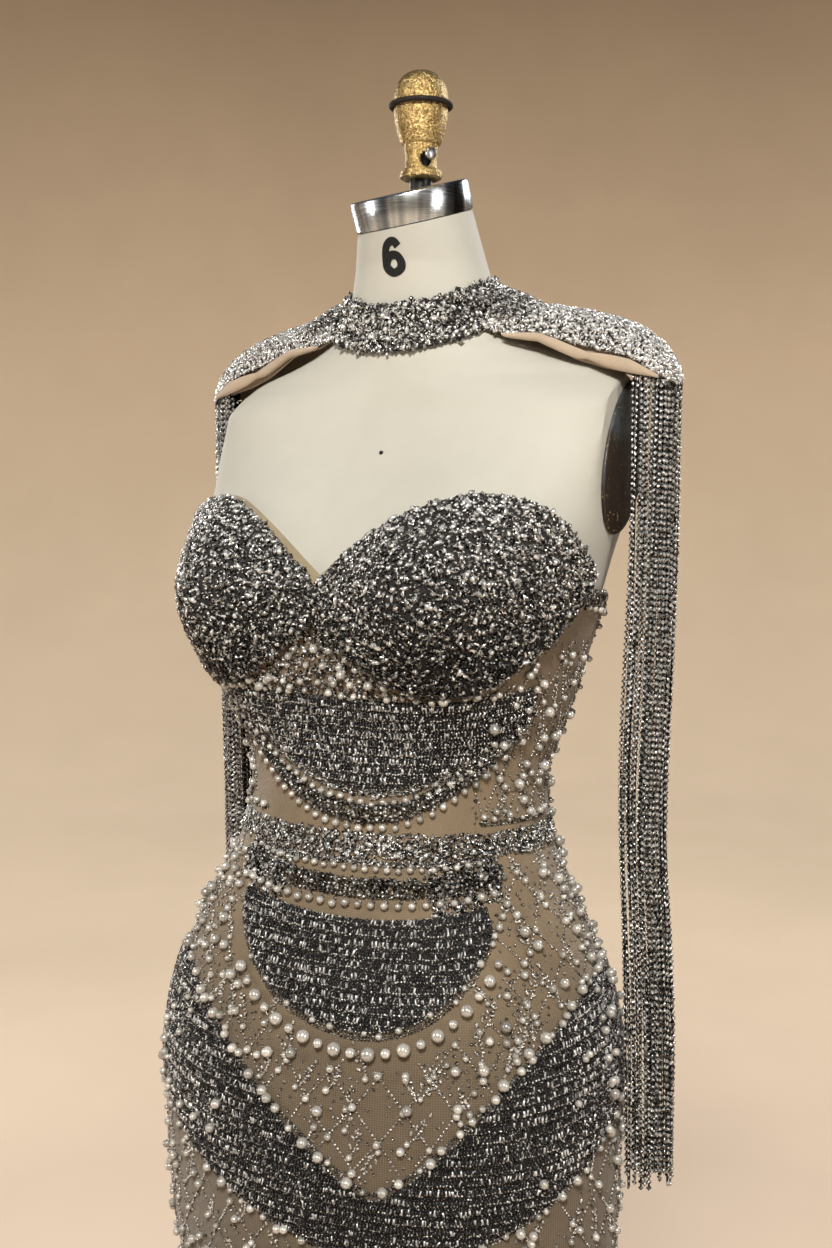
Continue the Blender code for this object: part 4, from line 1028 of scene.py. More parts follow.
def build_stand():
    base = turned("base_casting", (
        (BASE_RADIUS - 0.004, 0.0), (BASE_RADIUS - 0.0012, 0.0008), (BASE_RADIUS, 0.003), (BASE_RADIUS, 0.008),
        (BASE_RADIUS - 0.0015, 0.0108), (BASE_RADIUS - 0.007, 0.0132), (0.150, 0.0152), (0.110, 0.0190),
        (0.075, 0.0220), (0.045, 0.0262), (0.032, 0.0300), (0.026, 0.0345), (0.0225, 0.0410), (0.0220, POLE_FOOT),
        (0.0140, POLE_FOOT),
    ), 128)
    place(base, "iron", ("stand_base",))
    flange_foot = FORM_BOTTOM - FLANGE_TALL
    pole = turned("pole_tube", (
        (POLE_RADIUS - 0.001, POLE_FOOT + GAP), (POLE_RADIUS, POLE_FOOT + 0.0013), (POLE_RADIUS, flange_foot - 0.0013),
        (POLE_RADIUS - 0.001, flange_foot - GAP),
    ), 48)
    place(pole, "black_metal", ("stand_pole",))
    flange = turned("flange_plate", (
        (FLANGE_RADIUS - 0.001, flange_foot), (FLANGE_RADIUS, flange_foot + 0.001),
        (FLANGE_RADIUS, FORM_BOTTOM - 0.0013),
        (FLANGE_RADIUS - 0.001, FORM_BOTTOM - GAP),
    ), 64)
    place(flange, "black_metal", ("stand_flange",))


def build_size_mark():
    """A plain 6 painted on the front of the neck: a broad stroke along a curve, laid on the neck."""
    knots = ((5.5, 7.6), (3.2, 11.0), (-0.6, 11.3), (-4.2, 8.0), (-5.7, 1.0), (-5.2, -6.5), (-0.2, -11.3), (4.9, -8.6),
             (5.8, -4.0), (3.9, 0.6), (0.2, 1.9), (-3.6, 0.0), (-5.4, -4.5))
    centre_t, centre_z, half_stroke = 2.4, 1.4765, 0.0029
    line = np.stack(curve_through(np.array(knots) * 0.00094, 120), -1)
    ahead = unit(np.gradient(line, axis=0))
    side = np.stack([-ahead[:, 1], ahead[:, 0]], -1)
    flat = line[:, None] + side[:, None] * np.linspace(-half_stroke, half_stroke, 4)[None, :, None]
    base = skin(0.0, NECK_TOP, -FORM_UNDER, FORM_BUST)
    top = leaning_ring(CAP_SEAT, NECK_RADIUS, np.array([0.0]))[0]
    mark_radius = 0.046
    turn = centre_t + np.degrees(flat[..., 0].ravel() / mark_radius)
    height = centre_z + flat[..., 1].ravel()
    share = np.clip((height - NECK_TOP) / (top[2] - base[2]), 0, 1)[:, None]
    low = skin(turn, np.minimum(height, NECK_TOP), -FORM_UNDER, FORM_BUST)
    on_neck = low * (1 - share) + leaning_ring(CAP_SEAT, NECK_RADIUS, turn) * share
    outward = on_neck - (0, 0.004, 0)
    outward[:, 2] = 0
    rise = np.linspace(0.00025, 0.0004, len(line)).repeat(4)[:, None]
    index = np.arange(len(turn)).reshape(-1, 4)
    quads = np.stack([index[:-1, :-1], index[1:, :-1], index[1:, 1:], index[:-1, 1:]], -1).reshape(-1, 4)
    place(mesh_object("size_mark", on_neck + unit(outward) * rise, quads[:, ::-1]), "ink")


def build_pin():
    """A pin's dark head, left in the form's centre front."""
    seat = on_gown(0.5, 1.335, -FORM_UNDER + 0.0006, FORM_BUST)
    beads("pin_head", [bead_parts(ball(12, 6), seat, (0.0016, 0.0016, 0.0011), 0.0, 0.0)], "ink", (), True)


build_form()
build_arm_plates()
build_neck_cap()
build_finial()
build_stand()
build_size_mark()
build_pin()


# Gown: cloth ----------------------------------------------------------------------------------
SEAM = 0.09


def level(height):
    return lambda t: np.full(np.shape(t), height, float)


def columns(first, last, step=2.25):
    """Columns of a panel, with half a seam taken off at both ends."""
    t = np.linspace(first, last, max(2, round((last - first) / step)) + 1)
    t[0] += SEAM
    t[-1] -= SEAM
    return t


def cup_top(t):
    """Upper edge of a cup: from the dip between the cups to its crown and down to the side."""
    t = np.abs(t)
    inner = 1.299 - 0.052 * ((t - 33) / 31) ** 2
    outer = 1.299 - 0.057 * ((t - 33) / 57) ** 2
    return np.where(t < 33, inner, outer)


def cup_foot(t):
    """Lower edge of a cup, lowest under its middle."""
    t = np.abs(t)
    inner = 1.175 + 0.034 * ((t - 40) / 36) ** 2
    outer = 1.175 + 0.052 * ((t - 40) / 40) ** 2
    return np.where(t < 40, inner, outer)


def bodice_top(t):
    """Upper edge of the net bodice: under the cups, over the sides, then down to the zip."""
    t = np.abs(t)
    side, back = 1.240, 1.190
    behind = side + (back - side) * (1 - np.cos(np.pi * np.clip((t - 90) / 90, 0, 1))) / 2
    return np.where(t < 85, cup_foot(t) - 2 * GAP, behind)


def collar_low(t):
    """Lower edge of the collar: deepest in front, and still low where it runs in under the caps."""
    return 1.447 - 0.038 * ((1 + np.cos(np.radians(t))) / 2) ** 2.2


def collar_high(t):
    return 1.468 - 0.025 * ((1 + np.cos(np.radians(t))) / 2) ** 2


def drift(t, by):
    """Angle from the middle of a motif that lies turned towards the wearer's left."""
    return np.abs((t - by + 180) % 360 - 180)


def midriff_low(t):
    return 1.102 + 0.056 * (drift(t, 14) / 55) ** 2


def midriff_high(t):
    return 1.166 + 0.003 * (drift(t, 14) / 40) ** 2


def belly_low(t):
    return 0.947 + 0.070 * (drift(t, 14) / 42) ** 2


def belly_high(t):
    return 1.016 + 0.010 * (drift(t, 14) / 42) ** 2


def hip_low(t):
    return 0.793 + 0.085 * (drift(t, 18) / 75) ** 1.4


def hip_high(t):
    return 0.838 + 0.137 * (1 - np.exp(-((drift(t, 18) / 38) ** 1.5)))


def declare_cloth(outer):
    """Works out a wall of cloth's widest row, longest column and area from its outer grid, and does nothing with them.
    """
    width = float(np.linalg.norm(np.diff(outer, axis=1), axis=2).sum(1).max())
    length = float(np.linalg.norm(np.diff(outer, axis=0), axis=2).sum(0).max())
    falling, rising = outer[1:, 1:] - outer[:-1, :-1], outer[1:, :-1] - outer[:-1, 1:]
    area = float(np.linalg.norm(np.cross(falling, rising), axis=2).sum() / 2)
    area = min(max(area, 0.31 * width * length), width * length)


def cloth_piece(name, outer, inner, finish, nodes):
    """A closed wall of cloth with a UV map in metres."""
    middle = outer[len(outer) // 2]
    across = np.append(0, np.cumsum(np.linalg.norm(np.diff(middle, axis=0), axis=1)))
    spine = outer[:, outer.shape[1] // 2]
    along = np.append(0, np.cumsum(np.linalg.norm(np.diff(spine, axis=0), axis=1)))
    uv = np.stack(np.broadcast_arrays(across[None, :], along[:, None]), -1)
    obj = place(wall(name, outer, inner, uv), finish, nodes)
    declare_cloth(outer)
    return obj


def figure_cloth(name, t, low, high, rows, inside, outside, finish, slot, nodes, held, rests_on, **how):
    """Cloth on the figure between two edge heights, over the columns t."""
    share = np.linspace(0, 1, rows + 1)[:, None]
    z = low[None, :] * (1 - share) + high[None, :] * share
    grid_t = np.broadcast_to(t, z.shape)
    bust = how.get("bust", GOWN_BUST)
    outer, inner = skin(grid_t, z, outside, bust), skin(grid_t, z, inside, bust)
    if how.get("mirror_of_centre"):
        for points in (outer, inner):
            points[:, 0, 0] = GAP
            points[..., 0] *= how["mirror_of_centre"]
        if how["mirror_of_centre"] < 0:
            outer, inner = outer[:, ::-1], inner[:, ::-1]
    return cloth_piece(name, outer, inner, finish, nodes)


BODICE_PANELS = (("front", -54.0, 54.0), ("side_left", 54.0, 99.0), ("side_right", -99.0, -54.0),
                 ("back_left", 99.0, 180.0), ("back_right", -180.0, -99.0))
SKIRT_PANELS = (("front", -90.0, 90.0), ("back_left", 90.0, 180.0), ("back_right", -180.0, -90.0))
CUP_CLOTH = CUP_IN + 0.0030
MIDRIFF, BELLY, HIP = (-45.0, 72.0), (-27.0, 54.0), (-63.0, 117.0)


def build_cloth():
    """Net panels, cup shells and facings, and the dark cloth under the beaded panels."""
    for name, first, last in BODICE_PANELS:
        t = columns(first, last)
        figure_cloth("net_bodice_" + name, t, np.full(t.shape, WAIST + GAP / 2), bodice_top(t), 26, CLOTH_IN, CLOTH_OUT,
                     "net", "net", ("bodice_" + name,), "stretched", ("form_cover",))
    for name, first, last in SKIRT_PANELS:
        t = columns(first, last, 3.0)
        figure_cloth("net_skirt_" + name, t, np.full(t.shape, HEM), np.full(t.shape, WAIST - GAP / 2), 84, CLOTH_IN,
                     CLOTH_OUT, "net", "net", ("skirt_" + name,), "hung", ("form_cover",))
    for name, sign in (("left", 1), ("right", -1)):
        t = np.linspace(0, 85, 58)
        figure_cloth("cup_shell_" + name, t, cup_foot(t), cup_top(t), 28, CUP_IN, CUP_CLOTH, "backing", "crystal",
                     ("cup_" + name,), "stretched", ("form_cover",), mirror_of_centre=sign)
        t = np.linspace(0, 45, 31)
        shows = 0.009 * (1 - t / 62)
        figure_cloth("cup_facing_" + name, t, cup_top(t) - 0.012, cup_top(t) + shows, 8, FACING_IN, FACING_OUT,
                     "facing", "lining", ("facing_" + name,), "stretched", ("form_cover",), mirror_of_centre=sign)
    for name, (first, last), low, high, inside in (
        ("midriff", MIDRIFF, midriff_low, midriff_high, LAID_IN + GAP), ("belly", BELLY, belly_low, belly_high, LAID_IN),
        ("hip", HIP, hip_low, hip_high, LAID_IN),
    ):
        t = np.linspace(first, last, round((last - first) / 2.25) + 1)
        figure_cloth(name + "_ground", t, low(t), high(t), 14, inside, inside + BACKING, "backing", "bugle",
                     (name + "_panel",), "laid", ("net_bodice_front", "net_skirt_front"))


def rolled_edge(name, sign):
    """The lining's rolled front edge: an oval tube in two lengths, each swelling along a sine and closed at its ends."""
    sides, steps, half_deep = 14, 40, 0.0023
    turn = np.linspace(0, 2 * np.pi, sides, endpoint=False)
    points, faces = [], []
    for first, last in ((0.10, 0.43), (0.43, LINING_REACH)):
        u = np.linspace(first, last, steps)
        drop = np.interp(u, np.linspace(0, 1, len(CAP_STATIONS)), CAP_STATIONS[:, 6])
        swell = np.sin(np.pi * np.linspace(0.04, 0.96, steps)) ** 0.4
        centre = cap_surface(u, -1.0) - np.stack([0 * u, 0.0008 + 0 * u, drop * 0.5 + 0.0006], -1)
        half_tall = (0.0022 + 0.26 * drop) * swell
        rings = centre[:, None] + np.stack([
            np.zeros((steps, sides)), half_deep * swell[:, None] * np.cos(turn), half_tall[:, None] * np.sin(turn)], -1)
        start = len(points) * steps * sides
        points.append(rings.reshape(-1, 3))
        faces += [start + band(n * sides, (n + 1) * sides, sides) for n in range(steps - 1)]
        faces += [start + fan(0, sides, False), start + fan((steps - 1) * sides, sides, True)]
    points, faces = np.concatenate(points) * (sign, 1, 1), np.concatenate(faces)
    roll = mesh_object("cap_roll_" + name, points, faces if sign > 0 else faces[:, ::-1], points[:, (0, 2)])
    return place(roll, "lining")


def build_collar_and_caps():
    """The stand collar's band, the shoulder caps' shells and their thick lining."""
    t = np.linspace(-179.5, 179.5, 145)
    figure_cloth("collar_band", t, collar_low(t), collar_high(t), 8, COLLAR_IN, COLLAR_IN + 0.0024,
                 "backing", "crystal", ("collar",), "stretched", ("form_cover",), bust=FORM_BUST)
    for name, sign in (("left", 1), ("right", -1)):
        for label, reach, outside, inside, lined, finish, node in (
            ("cap_shell_", 1.0, CAP_BED, CAP_WALL, 0, "backing", "shoulder_cap_"),
            ("cap_lining_", LINING_REACH, LINING_FROM, LINING_TO, 1, "lining", "shoulder_lining_"),
        ):
            u, v = np.meshgrid(np.linspace(0, reach, 44), np.sin(np.linspace(-1, 1, 27) * np.pi / 2))
            outer, inner = on_cap(u, v, outside, lined)[..., 0, :], on_cap(u, v, inside, lined)[..., 0, :]
            inner[(0, -1), :, 2] = outer[(0, -1), :, 2]
            if sign < 0:
                outer, inner = outer[:, ::-1] * (-1, 1, 1), inner[:, ::-1] * (-1, 1, 1)
            trims = () if finish == "backing" else (rolled_edge(name, sign),)
            cloth_piece(label + name, outer, inner, finish, (node + name,))


# Gown: beadwork ------------------------------------------------------------------------------
CHATON, LARGE_CHATON, BRILLIANT, SEED, NAVETTE, BUGLE = chaton(4), chaton(6), brilliant(4), seed(), navette(), bugle(4)
PEARL, LARGE_PEARL = ball(8, 4), ball(14, 9)


def sized(count, low, high, flat=0.7):
    """Sizes of stones: an even spread of radii, with height a share of the radius."""
    radius = rng.uniform(low, high, count)
    return np.stack([radius, radius * rng.uniform(0.8, 1.0, count), radius * flat], -1)


STONE_SIZES = (
    # pitch, smallest and largest radius, how far it stands out, tone, kinds
    (0.0031, 0.0014, 0.0018, 0.0000, 0.42, (SEED,)),
    (0.0037, 0.0018, 0.0026, 0.0003, 0.54, (CHATON, NAVETTE)),
    (0.0082, 0.0024, 0.0033, 0.0009, 0.72, (LARGE_CHATON, NAVETTE)),
)


def crusted(seats_at, shade, grain=1.0, fewer=1.0):
    """Packed crystals: small dark ones make the bed, middling ones cover most of it, and a few large bright
    ones stand highest. seats_at(pitch) gives seats, shade(seats) what is added to their tone; grain scales the
    stones with their distances, and fewer spreads them out."""
    parts = []
    for pitch, small, large, rise, tone, kinds in STONE_SIZES:
        seats = leaned(seats_at(pitch * grain * fewer), 0.30)
        seats[:, 0] += seats[:, 3] * rise
        seats = turned_by(seats, rng.uniform(0, 2 * np.pi, len(seats)))
        tones = shade(seats) + tone + rng.normal(0, 0.17, len(seats))
        pick = rng.integers(0, len(kinds), len(seats))
        for n, kind in enumerate(kinds):
            chosen = pick == n
            size = sized(chosen.sum(), small * grain, large * grain)
            if kind is NAVETTE:
                size = size * (1.45, 0.85, 1.0)
            parts.append(bead_parts(kind, seats[chosen], size, tones[chosen], 0.36))
    return parts


def one_side(seats, sign):
    return mirrored(seats) if sign < 0 else seats


def rough_edge(t, edge, proud, bust=GOWN_BUST):
    """Stones of mixed size strewn along an edge, some a little past it."""
    parts = []
    for pitch, off, low, high, tone in ((0.0038, 0.0, 0.0018, 0.0026, 0.50), (0.0070, 0.0022, 0.0020, 0.0033, 0.62)):
        seats = leaned(strung(t, edge, pitch, proud, bust), 0.35)
        shift = off * rng.uniform(-1, 1, len(seats)) + rng.normal(0, 0.0006, len(seats))
        seats[:, 0] += seats[:, 2] * shift[:, None]
        seats = turned_by(seats, rng.uniform(0, 2 * np.pi, len(seats)))
        parts.append(bead_parts(CHATON, seats, sized(len(seats), low, high),
                                tone + rng.normal(0, 0.12, len(seats)), 0.30))
    return parts


def build_cup_stones():
    for name, sign in (("left", 1), ("right", -1)):
        seats_at = seats_in(0.6, 85, lambda a: cup_foot(a) - 0.0005, lambda a: cup_top(a) + 0.0005, CUP_CLOTH)
        # Painted light and shade: the cups' stones are lighter higher up and darker lower down, by their height.
        parts = crusted(lambda pitch: one_side(seats_at(pitch), sign), lambda seats: 4.6 * (seats[:, 0, 2] - 1.240))
        t = np.linspace(1, 85, 200)
        for edge in (cup_top, cup_foot):
            for placed, faces, tones in rough_edge(t, edge(t), CUP_CLOTH - 0.0008):
                if sign < 0:
                    placed, faces = placed * (-1, 1, 1), faces[:, ::-1]
                parts.append((placed, faces, tones))
        beads("cup_stones_" + name, parts, "crystal")


def build_collar_stones():
    proud = COLLAR_IN + 0.0024
    parts = crusted(seats_in(-179, 179, lambda a: collar_low(a) + 0.0006, lambda a: collar_high(a) - 0.0002, proud,
                             FORM_BUST), lambda seats: 0.19, 0.95)
    t = np.linspace(-179, 179, 720)
    parts += rough_edge(t, collar_low(t), proud - 0.0008, FORM_BUST)
    parts += rough_edge(t, collar_high(t), proud - 0.0008, FORM_BUST)
    beads("collar_stones", parts, "crystal")


def cap_seats(pitch):
    """Seats in rows along the cap: columns one pitch apart along each row, rows one pitch apart over the arch."""
    fine = np.linspace(-1, 1, 200)
    arch = cap_surface(0.4, fine)
    length = np.append(0, np.cumsum(np.linalg.norm(np.diff(arch, axis=0), axis=1)))
    rows = np.interp(np.arange(pitch / 2, length[-1], pitch * 0.87), length, fine)
    us = np.linspace(0, 1, 300)
    u, v = [], []
    for n, row in enumerate(rows):
        line = cap_surface(us, row)
        run = np.append(0, np.cumsum(np.linalg.norm(np.diff(line, axis=0), axis=1)))
        at = np.arange((n % 2) * pitch / 2, run[-1], pitch)
        u.append(np.interp(at + rng.normal(0, 0.25 * pitch, len(at)), run, us))
        v.append(row + rng.normal(0, 0.4 * pitch / length[-1], len(at)))
    u, v = np.concatenate(u), np.clip(np.concatenate(v), -0.99, 0.99)
    return on_cap(u, v, np.full(len(u), CAP_BED))


def bridge_seats(count):
    """Random seats between the collar's top and the left cap, on lines that bulge upwards by a half sine."""
    v, share = rng.uniform(-0.97, 0.97, count), rng.uniform(0, 1, count)[:, None]
    t = 90 + 46 * v
    foot = skin(t, collar_high(t) - 0.0045, COLLAR_IN + 0.0020, FORM_BUST)
    seats = on_cap(np.full(count, 0.20), v, np.full(count, CAP_BED))
    seats[:, 0] = foot * (1 - share) + seats[:, 0] * share + (0, 0, 0.0016) * np.sin(np.pi * share)
    return seats


def build_cap_stones():
    for name, sign in (("left", 1), ("right", -1)):
        parts = crusted(lambda pitch: one_side(cap_seats(pitch), sign), lambda seats: 0.56, 0.78)
        for count, low, high, tone in ((420, 0.0017, 0.0022, 0.62), (150, 0.0022, 0.0030, 0.80)):
            seats = one_side(leaned(bridge_seats(count), 0.35), sign)
            parts.append(bead_parts(CHATON, seats, sized(count, low, high), rng.normal(tone, 0.17, count), 0.34))
        for edge in (-1.0, 1.0):
            u = np.linspace(0.0, 0.995, 62)
            seats = one_side(leaned(on_cap(u, np.full(u.shape, edge * 0.985), np.full(u.shape, CAP_BED)), 0.35), sign)
            parts.append(bead_parts(CHATON, seats, sized(len(seats), 0.0015, 0.0021), 0.72, 0.28))
        beads("cap_stones_" + name, parts, "crystal")


def panel_shade(name, t):
    """What is added to a panel's tones; the hip panel is darkest in its middle."""
    if name == "hip":
        return -0.26 + 0.24 * np.clip(drift(t, 18) / 60, 0, 1)
    return {"midriff": 0.02, "belly": -0.06}[name] + 0 * t


def build_bead_panels():
    """Level rows: a dotted line of bright beads, short upright bugles on it, and fine dark beads up to the next."""
    row_apart, sag = 0.0068, 0.004
    for name, (first, last), low, high in (
        ("midriff", MIDRIFF, midriff_low, midriff_high), ("belly", BELLY, belly_low, belly_high),
        ("hip", HIP, hip_low, hip_high),
    ):
        ground = LAID_IN + BACKING + (GAP if name == "midriff" else 0)
        rows = {
            place_of: packed(first, last, lambda a: low(a) + 0.0008, lambda a: high(a) - 0.0006, pitch, 0.13,
                             row_apart / pitch, offset, sag)
            for place_of, pitch, offset in (("dots", 0.0021, 0.0), ("ticks", 0.0024, 0.0020), ("dark", 0.0021, 0.0040),
                                            ("darkest", 0.0021, 0.0054))
        }
        t, z = rows["ticks"]
        seats = leaned(on_gown(t, z, ground + 0.0008), 0.14)
        seats = turned_by(seats, np.pi / 2 + rng.normal(0, 0.16, len(seats)))
        share = 0.46 + panel_shade(name, t) + 0.30 * np.sin(t * 0.11 + z * 90) * np.cos(z * 410)
        bright = rng.random(len(seats)) < share
        half_long = np.where(bright, rng.uniform(0.0014, 0.0020, len(seats)), 0.0012)
        size = np.stack([half_long, *[rng.uniform(0.0007, 0.0010, len(seats))] * 2], -1)
        beads(name + "_bugles", [bead_parts(BUGLE, seats, size, np.where(bright, 0.86, 0.42), 0.20)],
              "hematite")
        parts = []
        for place_of, kind, size, tone, stray in (
            ("dots", SEED, 0.0011, 0.72, 0.22), ("dark", SEED, 0.0011, 0.40, 0.18), ("darkest", SEED, 0.0010, 0.32, 0.16),
        ):
            t, z = rows[place_of]
            seats = leaned(on_gown(t, z, ground + 0.0006), 0.3)
            tones = rng.normal(tone + panel_shade(name, t), stray)
            parts.append(bead_parts(kind, seats, (size, size, size), tones, 0.26))
        t = np.linspace(first, last, 400)
        for edge in (low, high):
            seats = leaned(strung(t, edge(t), 0.0026, ground - 0.0003), 0.3)
            parts.append(bead_parts(SEED, seats, (0.0014, 0.0012, 0.0012), 0.46, 0.30))
        beads(name + "_seeds", parts, "crystal")


def swag_middle(t):
    return 1.085 + 0.072 * (drift(t, 12) / 60) ** 2


def waist_swag_middle(t):
    return 1.036 + 0.008 * (drift(t, 12) / 48) ** 2


def chain_middle(t):
    return 0.934 + 0.066 * (drift(t, 14) / 42) ** 2


def rope(t, middle, half_tall, peak):
    """Five lines of brilliants of mixed size side by side over a swag, highest along its middle."""
    parts = []
    for share in (-0.9, -0.45, 0.0, 0.45, 0.9):
        proud = LAID_IN + 0.0002 + (peak - LAID_IN - 0.0022) * math.sqrt(1 - share**2)
        seats = leaned(strung(t, middle(t) + share * half_tall, 0.0034, proud), 0.45)
        seats[:, 0] += seats[:, 2] * rng.normal(0, 0.0007, (len(seats), 1))
        seats = turned_by(seats, rng.uniform(0, 2 * np.pi, len(seats)))
        size = sized(len(seats), 0.0017, 0.0027, 0.9)
        parts.append(bead_parts(BRILLIANT, seats, size, 0.50 + rng.normal(0, 0.14, len(seats)), 0.30))
    return parts


def round_pearls(seats, radius, tone=0.55):
    radius = np.broadcast_to(radius, (len(seats),))
    return bead_parts(PEARL, seats, radius[:, None] * np.ones(3), rng.normal(tone, 0.16, len(seats)), 0.0)


def build_swags():
    """The raised ropes of stones, the waist seam's band and the chain of large pearls."""
    t = np.linspace(-45, 72, 240)
    beads("midriff_rope", rope(t, swag_middle, 0.006, SWAG_OUT), "crystal", ("midriff_swag",))
    t = np.linspace(-36, 63, 200)
    beads("waist_rope", rope(t, waist_swag_middle, 0.0052, SWAG_OUT), "crystal", ("waist_swag",))
    parts = crusted(seats_in(-171, 171, level(WAIST - 0.0058), level(WAIST + 0.0058), LAID_IN),
                    lambda seats: 0.05, 0.85)
    beads("waist_band_stones", parts, "crystal", ("waist_band",))

    t = np.linspace(-20, 54, 300)
    seats = strung(t, chain_middle(t), 0.0124, LAID_IN + 0.0036)
    count = len(seats)
    radius = np.where(np.arange(count) % 2 == 0, 0.0049, 0.0036) - 0.0008 * np.abs(np.linspace(-1, 1, count))
    chain = [bead_parts(LARGE_PEARL, seats, radius[:, None] * np.ones(3), rng.normal(0.66, 0.10, count), 0.0)]
    between = strung(t, chain_middle(t) + 0.0002, 0.0062, LAID_IN + 0.0012)[::2]
    chain.append(bead_parts(PEARL, between, (0.0020, 0.0020, 0.0020), 0.5, 0.0))
    beads("pearl_chain_pearls", chain, "pearl", ("pearl_chain",), True)


def build_crusts():
    """Stonework over and under the waist band, beside the waist's rope, along the midriff and under the cups."""
    def over_belly(a):
        return belly_high(a) + 0.001

    def under_cups(a):
        return cup_foot(a) - 0.001

    proud = CLOTH_OUT + 0.0004
    parts = []
    for first, last, low, high, added, grain, fewer in (
        (-36, -12, over_belly, level(WAIST - 0.0075), -0.02, 0.90, 1.05),
        (36, 62, over_belly, level(WAIST - 0.0075), -0.02, 0.90, 1.05),
        (-36, 62, level(WAIST - 0.0110), level(WAIST - 0.0062), 0.04, 0.80, 1.0),
        (-60, 96, level(WAIST + 0.0064), lambda a: WAIST + 0.0096 + 0.0015 * np.sin(np.radians(a) * 9) ** 2,
         0.04, 0.80, 1.0),
        (-42, 50, lambda a: midriff_high(a) + 0.0015, under_cups, 0.02, 0.90, 1.5),
        (-44, 66, lambda a: midriff_low(a) - 0.0056, lambda a: midriff_low(a) - 0.0006, 0.05, 0.80, 1.0),
    ):
        parts += crusted(seats_in(first, last, low, high, proud), lambda seats: added, grain, fewer)
    beads("waist_crust", parts, "crystal")


def hanging_pearls(t, z, radius, pitch):
    """Pearls that hang side by side below a line of small beads, each with a small bright bead over it."""
    above = strung(t, z + radius + 0.0022, 0.0025, CLOTH_OUT + 0.0006)
    line = bead_parts(SEED, leaned(above, 0.2), (0.0012, 0.0011, 0.0011), 0.5, 0.28)
    seats = strung(t, z, pitch, CLOTH_OUT + radius * 0.85)
    seats[:, 0] += seats[:, 2] * rng.normal(0, 0.0005, (len(seats), 1))
    pearls = round_pearls(seats, radius * rng.uniform(0.88, 1.08, len(seats)))
    seats = strung(t, z + radius * 0.95, pitch, CLOTH_OUT + radius * 0.7)
    caps = bead_parts(CHATON, leaned(seats, 0.3), (0.0015, 0.0015, 0.0012), 0.68, 0.25)
    return line, pearls, caps


def strewn_pearls(t, z, apart, small, large, proud):
    """Pearls of mixed size at uneven steps along a line, a little to either side of it."""
    seats = strung(t, z, 0.0010, 0.0)
    at = np.cumsum(rng.uniform(0.45, 1.55, int(len(seats) * 0.001 / apart) + 4) * apart) / 0.001
    seats = seats[at[at < len(seats)].astype(int)]
    radius = rng.uniform(small, large, len(seats))
    seats[:, 0] += seats[:, 3] * (proud + radius * 0.8)[:, None] + seats[:, 2] * rng.normal(0, 0.0012, (len(seats), 1))
    return round_pearls(seats, radius)


def build_pearl_rows():
    """Festoons of hanging pearls, fine dark lines along the panels' edges and pearls strewn over them."""
    pearls, stones = [], []
    for first, last, line, radius, pitch in (
        (-44, 70, lambda a: midriff_low(a) - 0.0098, 0.0026, 0.0082),
        (-40, 64, lambda a: swag_middle(a) - 0.0108, 0.0028, 0.0090),
        (-31, 57, lambda a: 1.0475 + 0.006 * (drift(a, 12) / 48) ** 2, 0.0025, 0.0080),
        (-33, 58, lambda a: 1.0245 + 0.008 * (drift(a, 12) / 48) ** 2, 0.0031, 0.0096),
    ):
        t = np.linspace(first, last, 300)
        row, hung, caps = hanging_pearls(t, line(t), radius, pitch)
        stones += [row, caps]
        pearls.append(hung)
    for first, last, line, apart, small, large in (
        (-45, 72, lambda a: midriff_high(a) + 0.0022, 0.013, 0.0018, 0.0030),
        (-27, 54, lambda a: belly_low(a) - 0.0026, 0.019, 0.0018, 0.0032),
        (-63, 117, lambda a: hip_high(a) + 0.0030, 0.012, 0.0022, 0.0046),
        (-63, 117, lambda a: hip_low(a) - 0.0032, 0.012, 0.0020, 0.0042),
        (56, 96, level(1.0790), 0.010, 0.0018, 0.0032),
        (-60, -32, level(1.0790), 0.010, 0.0018, 0.0032),
        (99, 176, level(1.0720), 0.012, 0.0018, 0.0030),
        (-176, -60, level(1.0720), 0.012, 0.0018, 0.0030),
    ):
        t = np.linspace(first, last, 400)
        for off in (0.0, 0.0020):
            seats = leaned(strung(t, line(t) + off * np.sign(0.9 - line(t)), 0.0025, CLOTH_OUT + 0.0005), 0.25)
            stones.append(bead_parts(SEED, seats, (0.0013, 0.0012, 0.0011), 0.46, 0.30))
        pearls.append(strewn_pearls(t, line(t) + 0.0012, apart, small, large, CLOTH_OUT))
    for at_t, wide, first_z, last_z, count in ((92, 26, 0.850, 0.980, 46), (-46, 17, 0.840, 0.945, 26)):
        t, z = rng.normal(at_t, wide * 0.6, count), rng.uniform(first_z, last_z, count)
        keep = (z > hip_low(t)) & (z < hip_high(t)) & (t > -63) & (t < 117)
        radius = rng.uniform(0.0020, 0.0042, keep.sum())
        pearls.append(round_pearls(on_gown(t[keep], z[keep], LAID_IN + BACKING + 0.0008 + radius * 0.8), radius))
    beads("edge_pearls", pearls, "pearl", (), True)
    beads("edge_seeds", stones, "crystal")


def lay_out(t, z, across, rise, turn):
    """Places for points given in metres across and up a motif that is turned at (t, z)."""
    t, z, turn = (np.asarray(value, float)[:, None] for value in (t, z, turn))
    degree = np.linalg.norm(figure(t + 0.5, z, GOWN_BUST) - figure(t - 0.5, z, GOWN_BUST), axis=-1)
    a = across * np.cos(turn) - rise * np.sin(turn)
    b = across * np.sin(turn) + rise * np.cos(turn)
    return t + a / degree, z + b


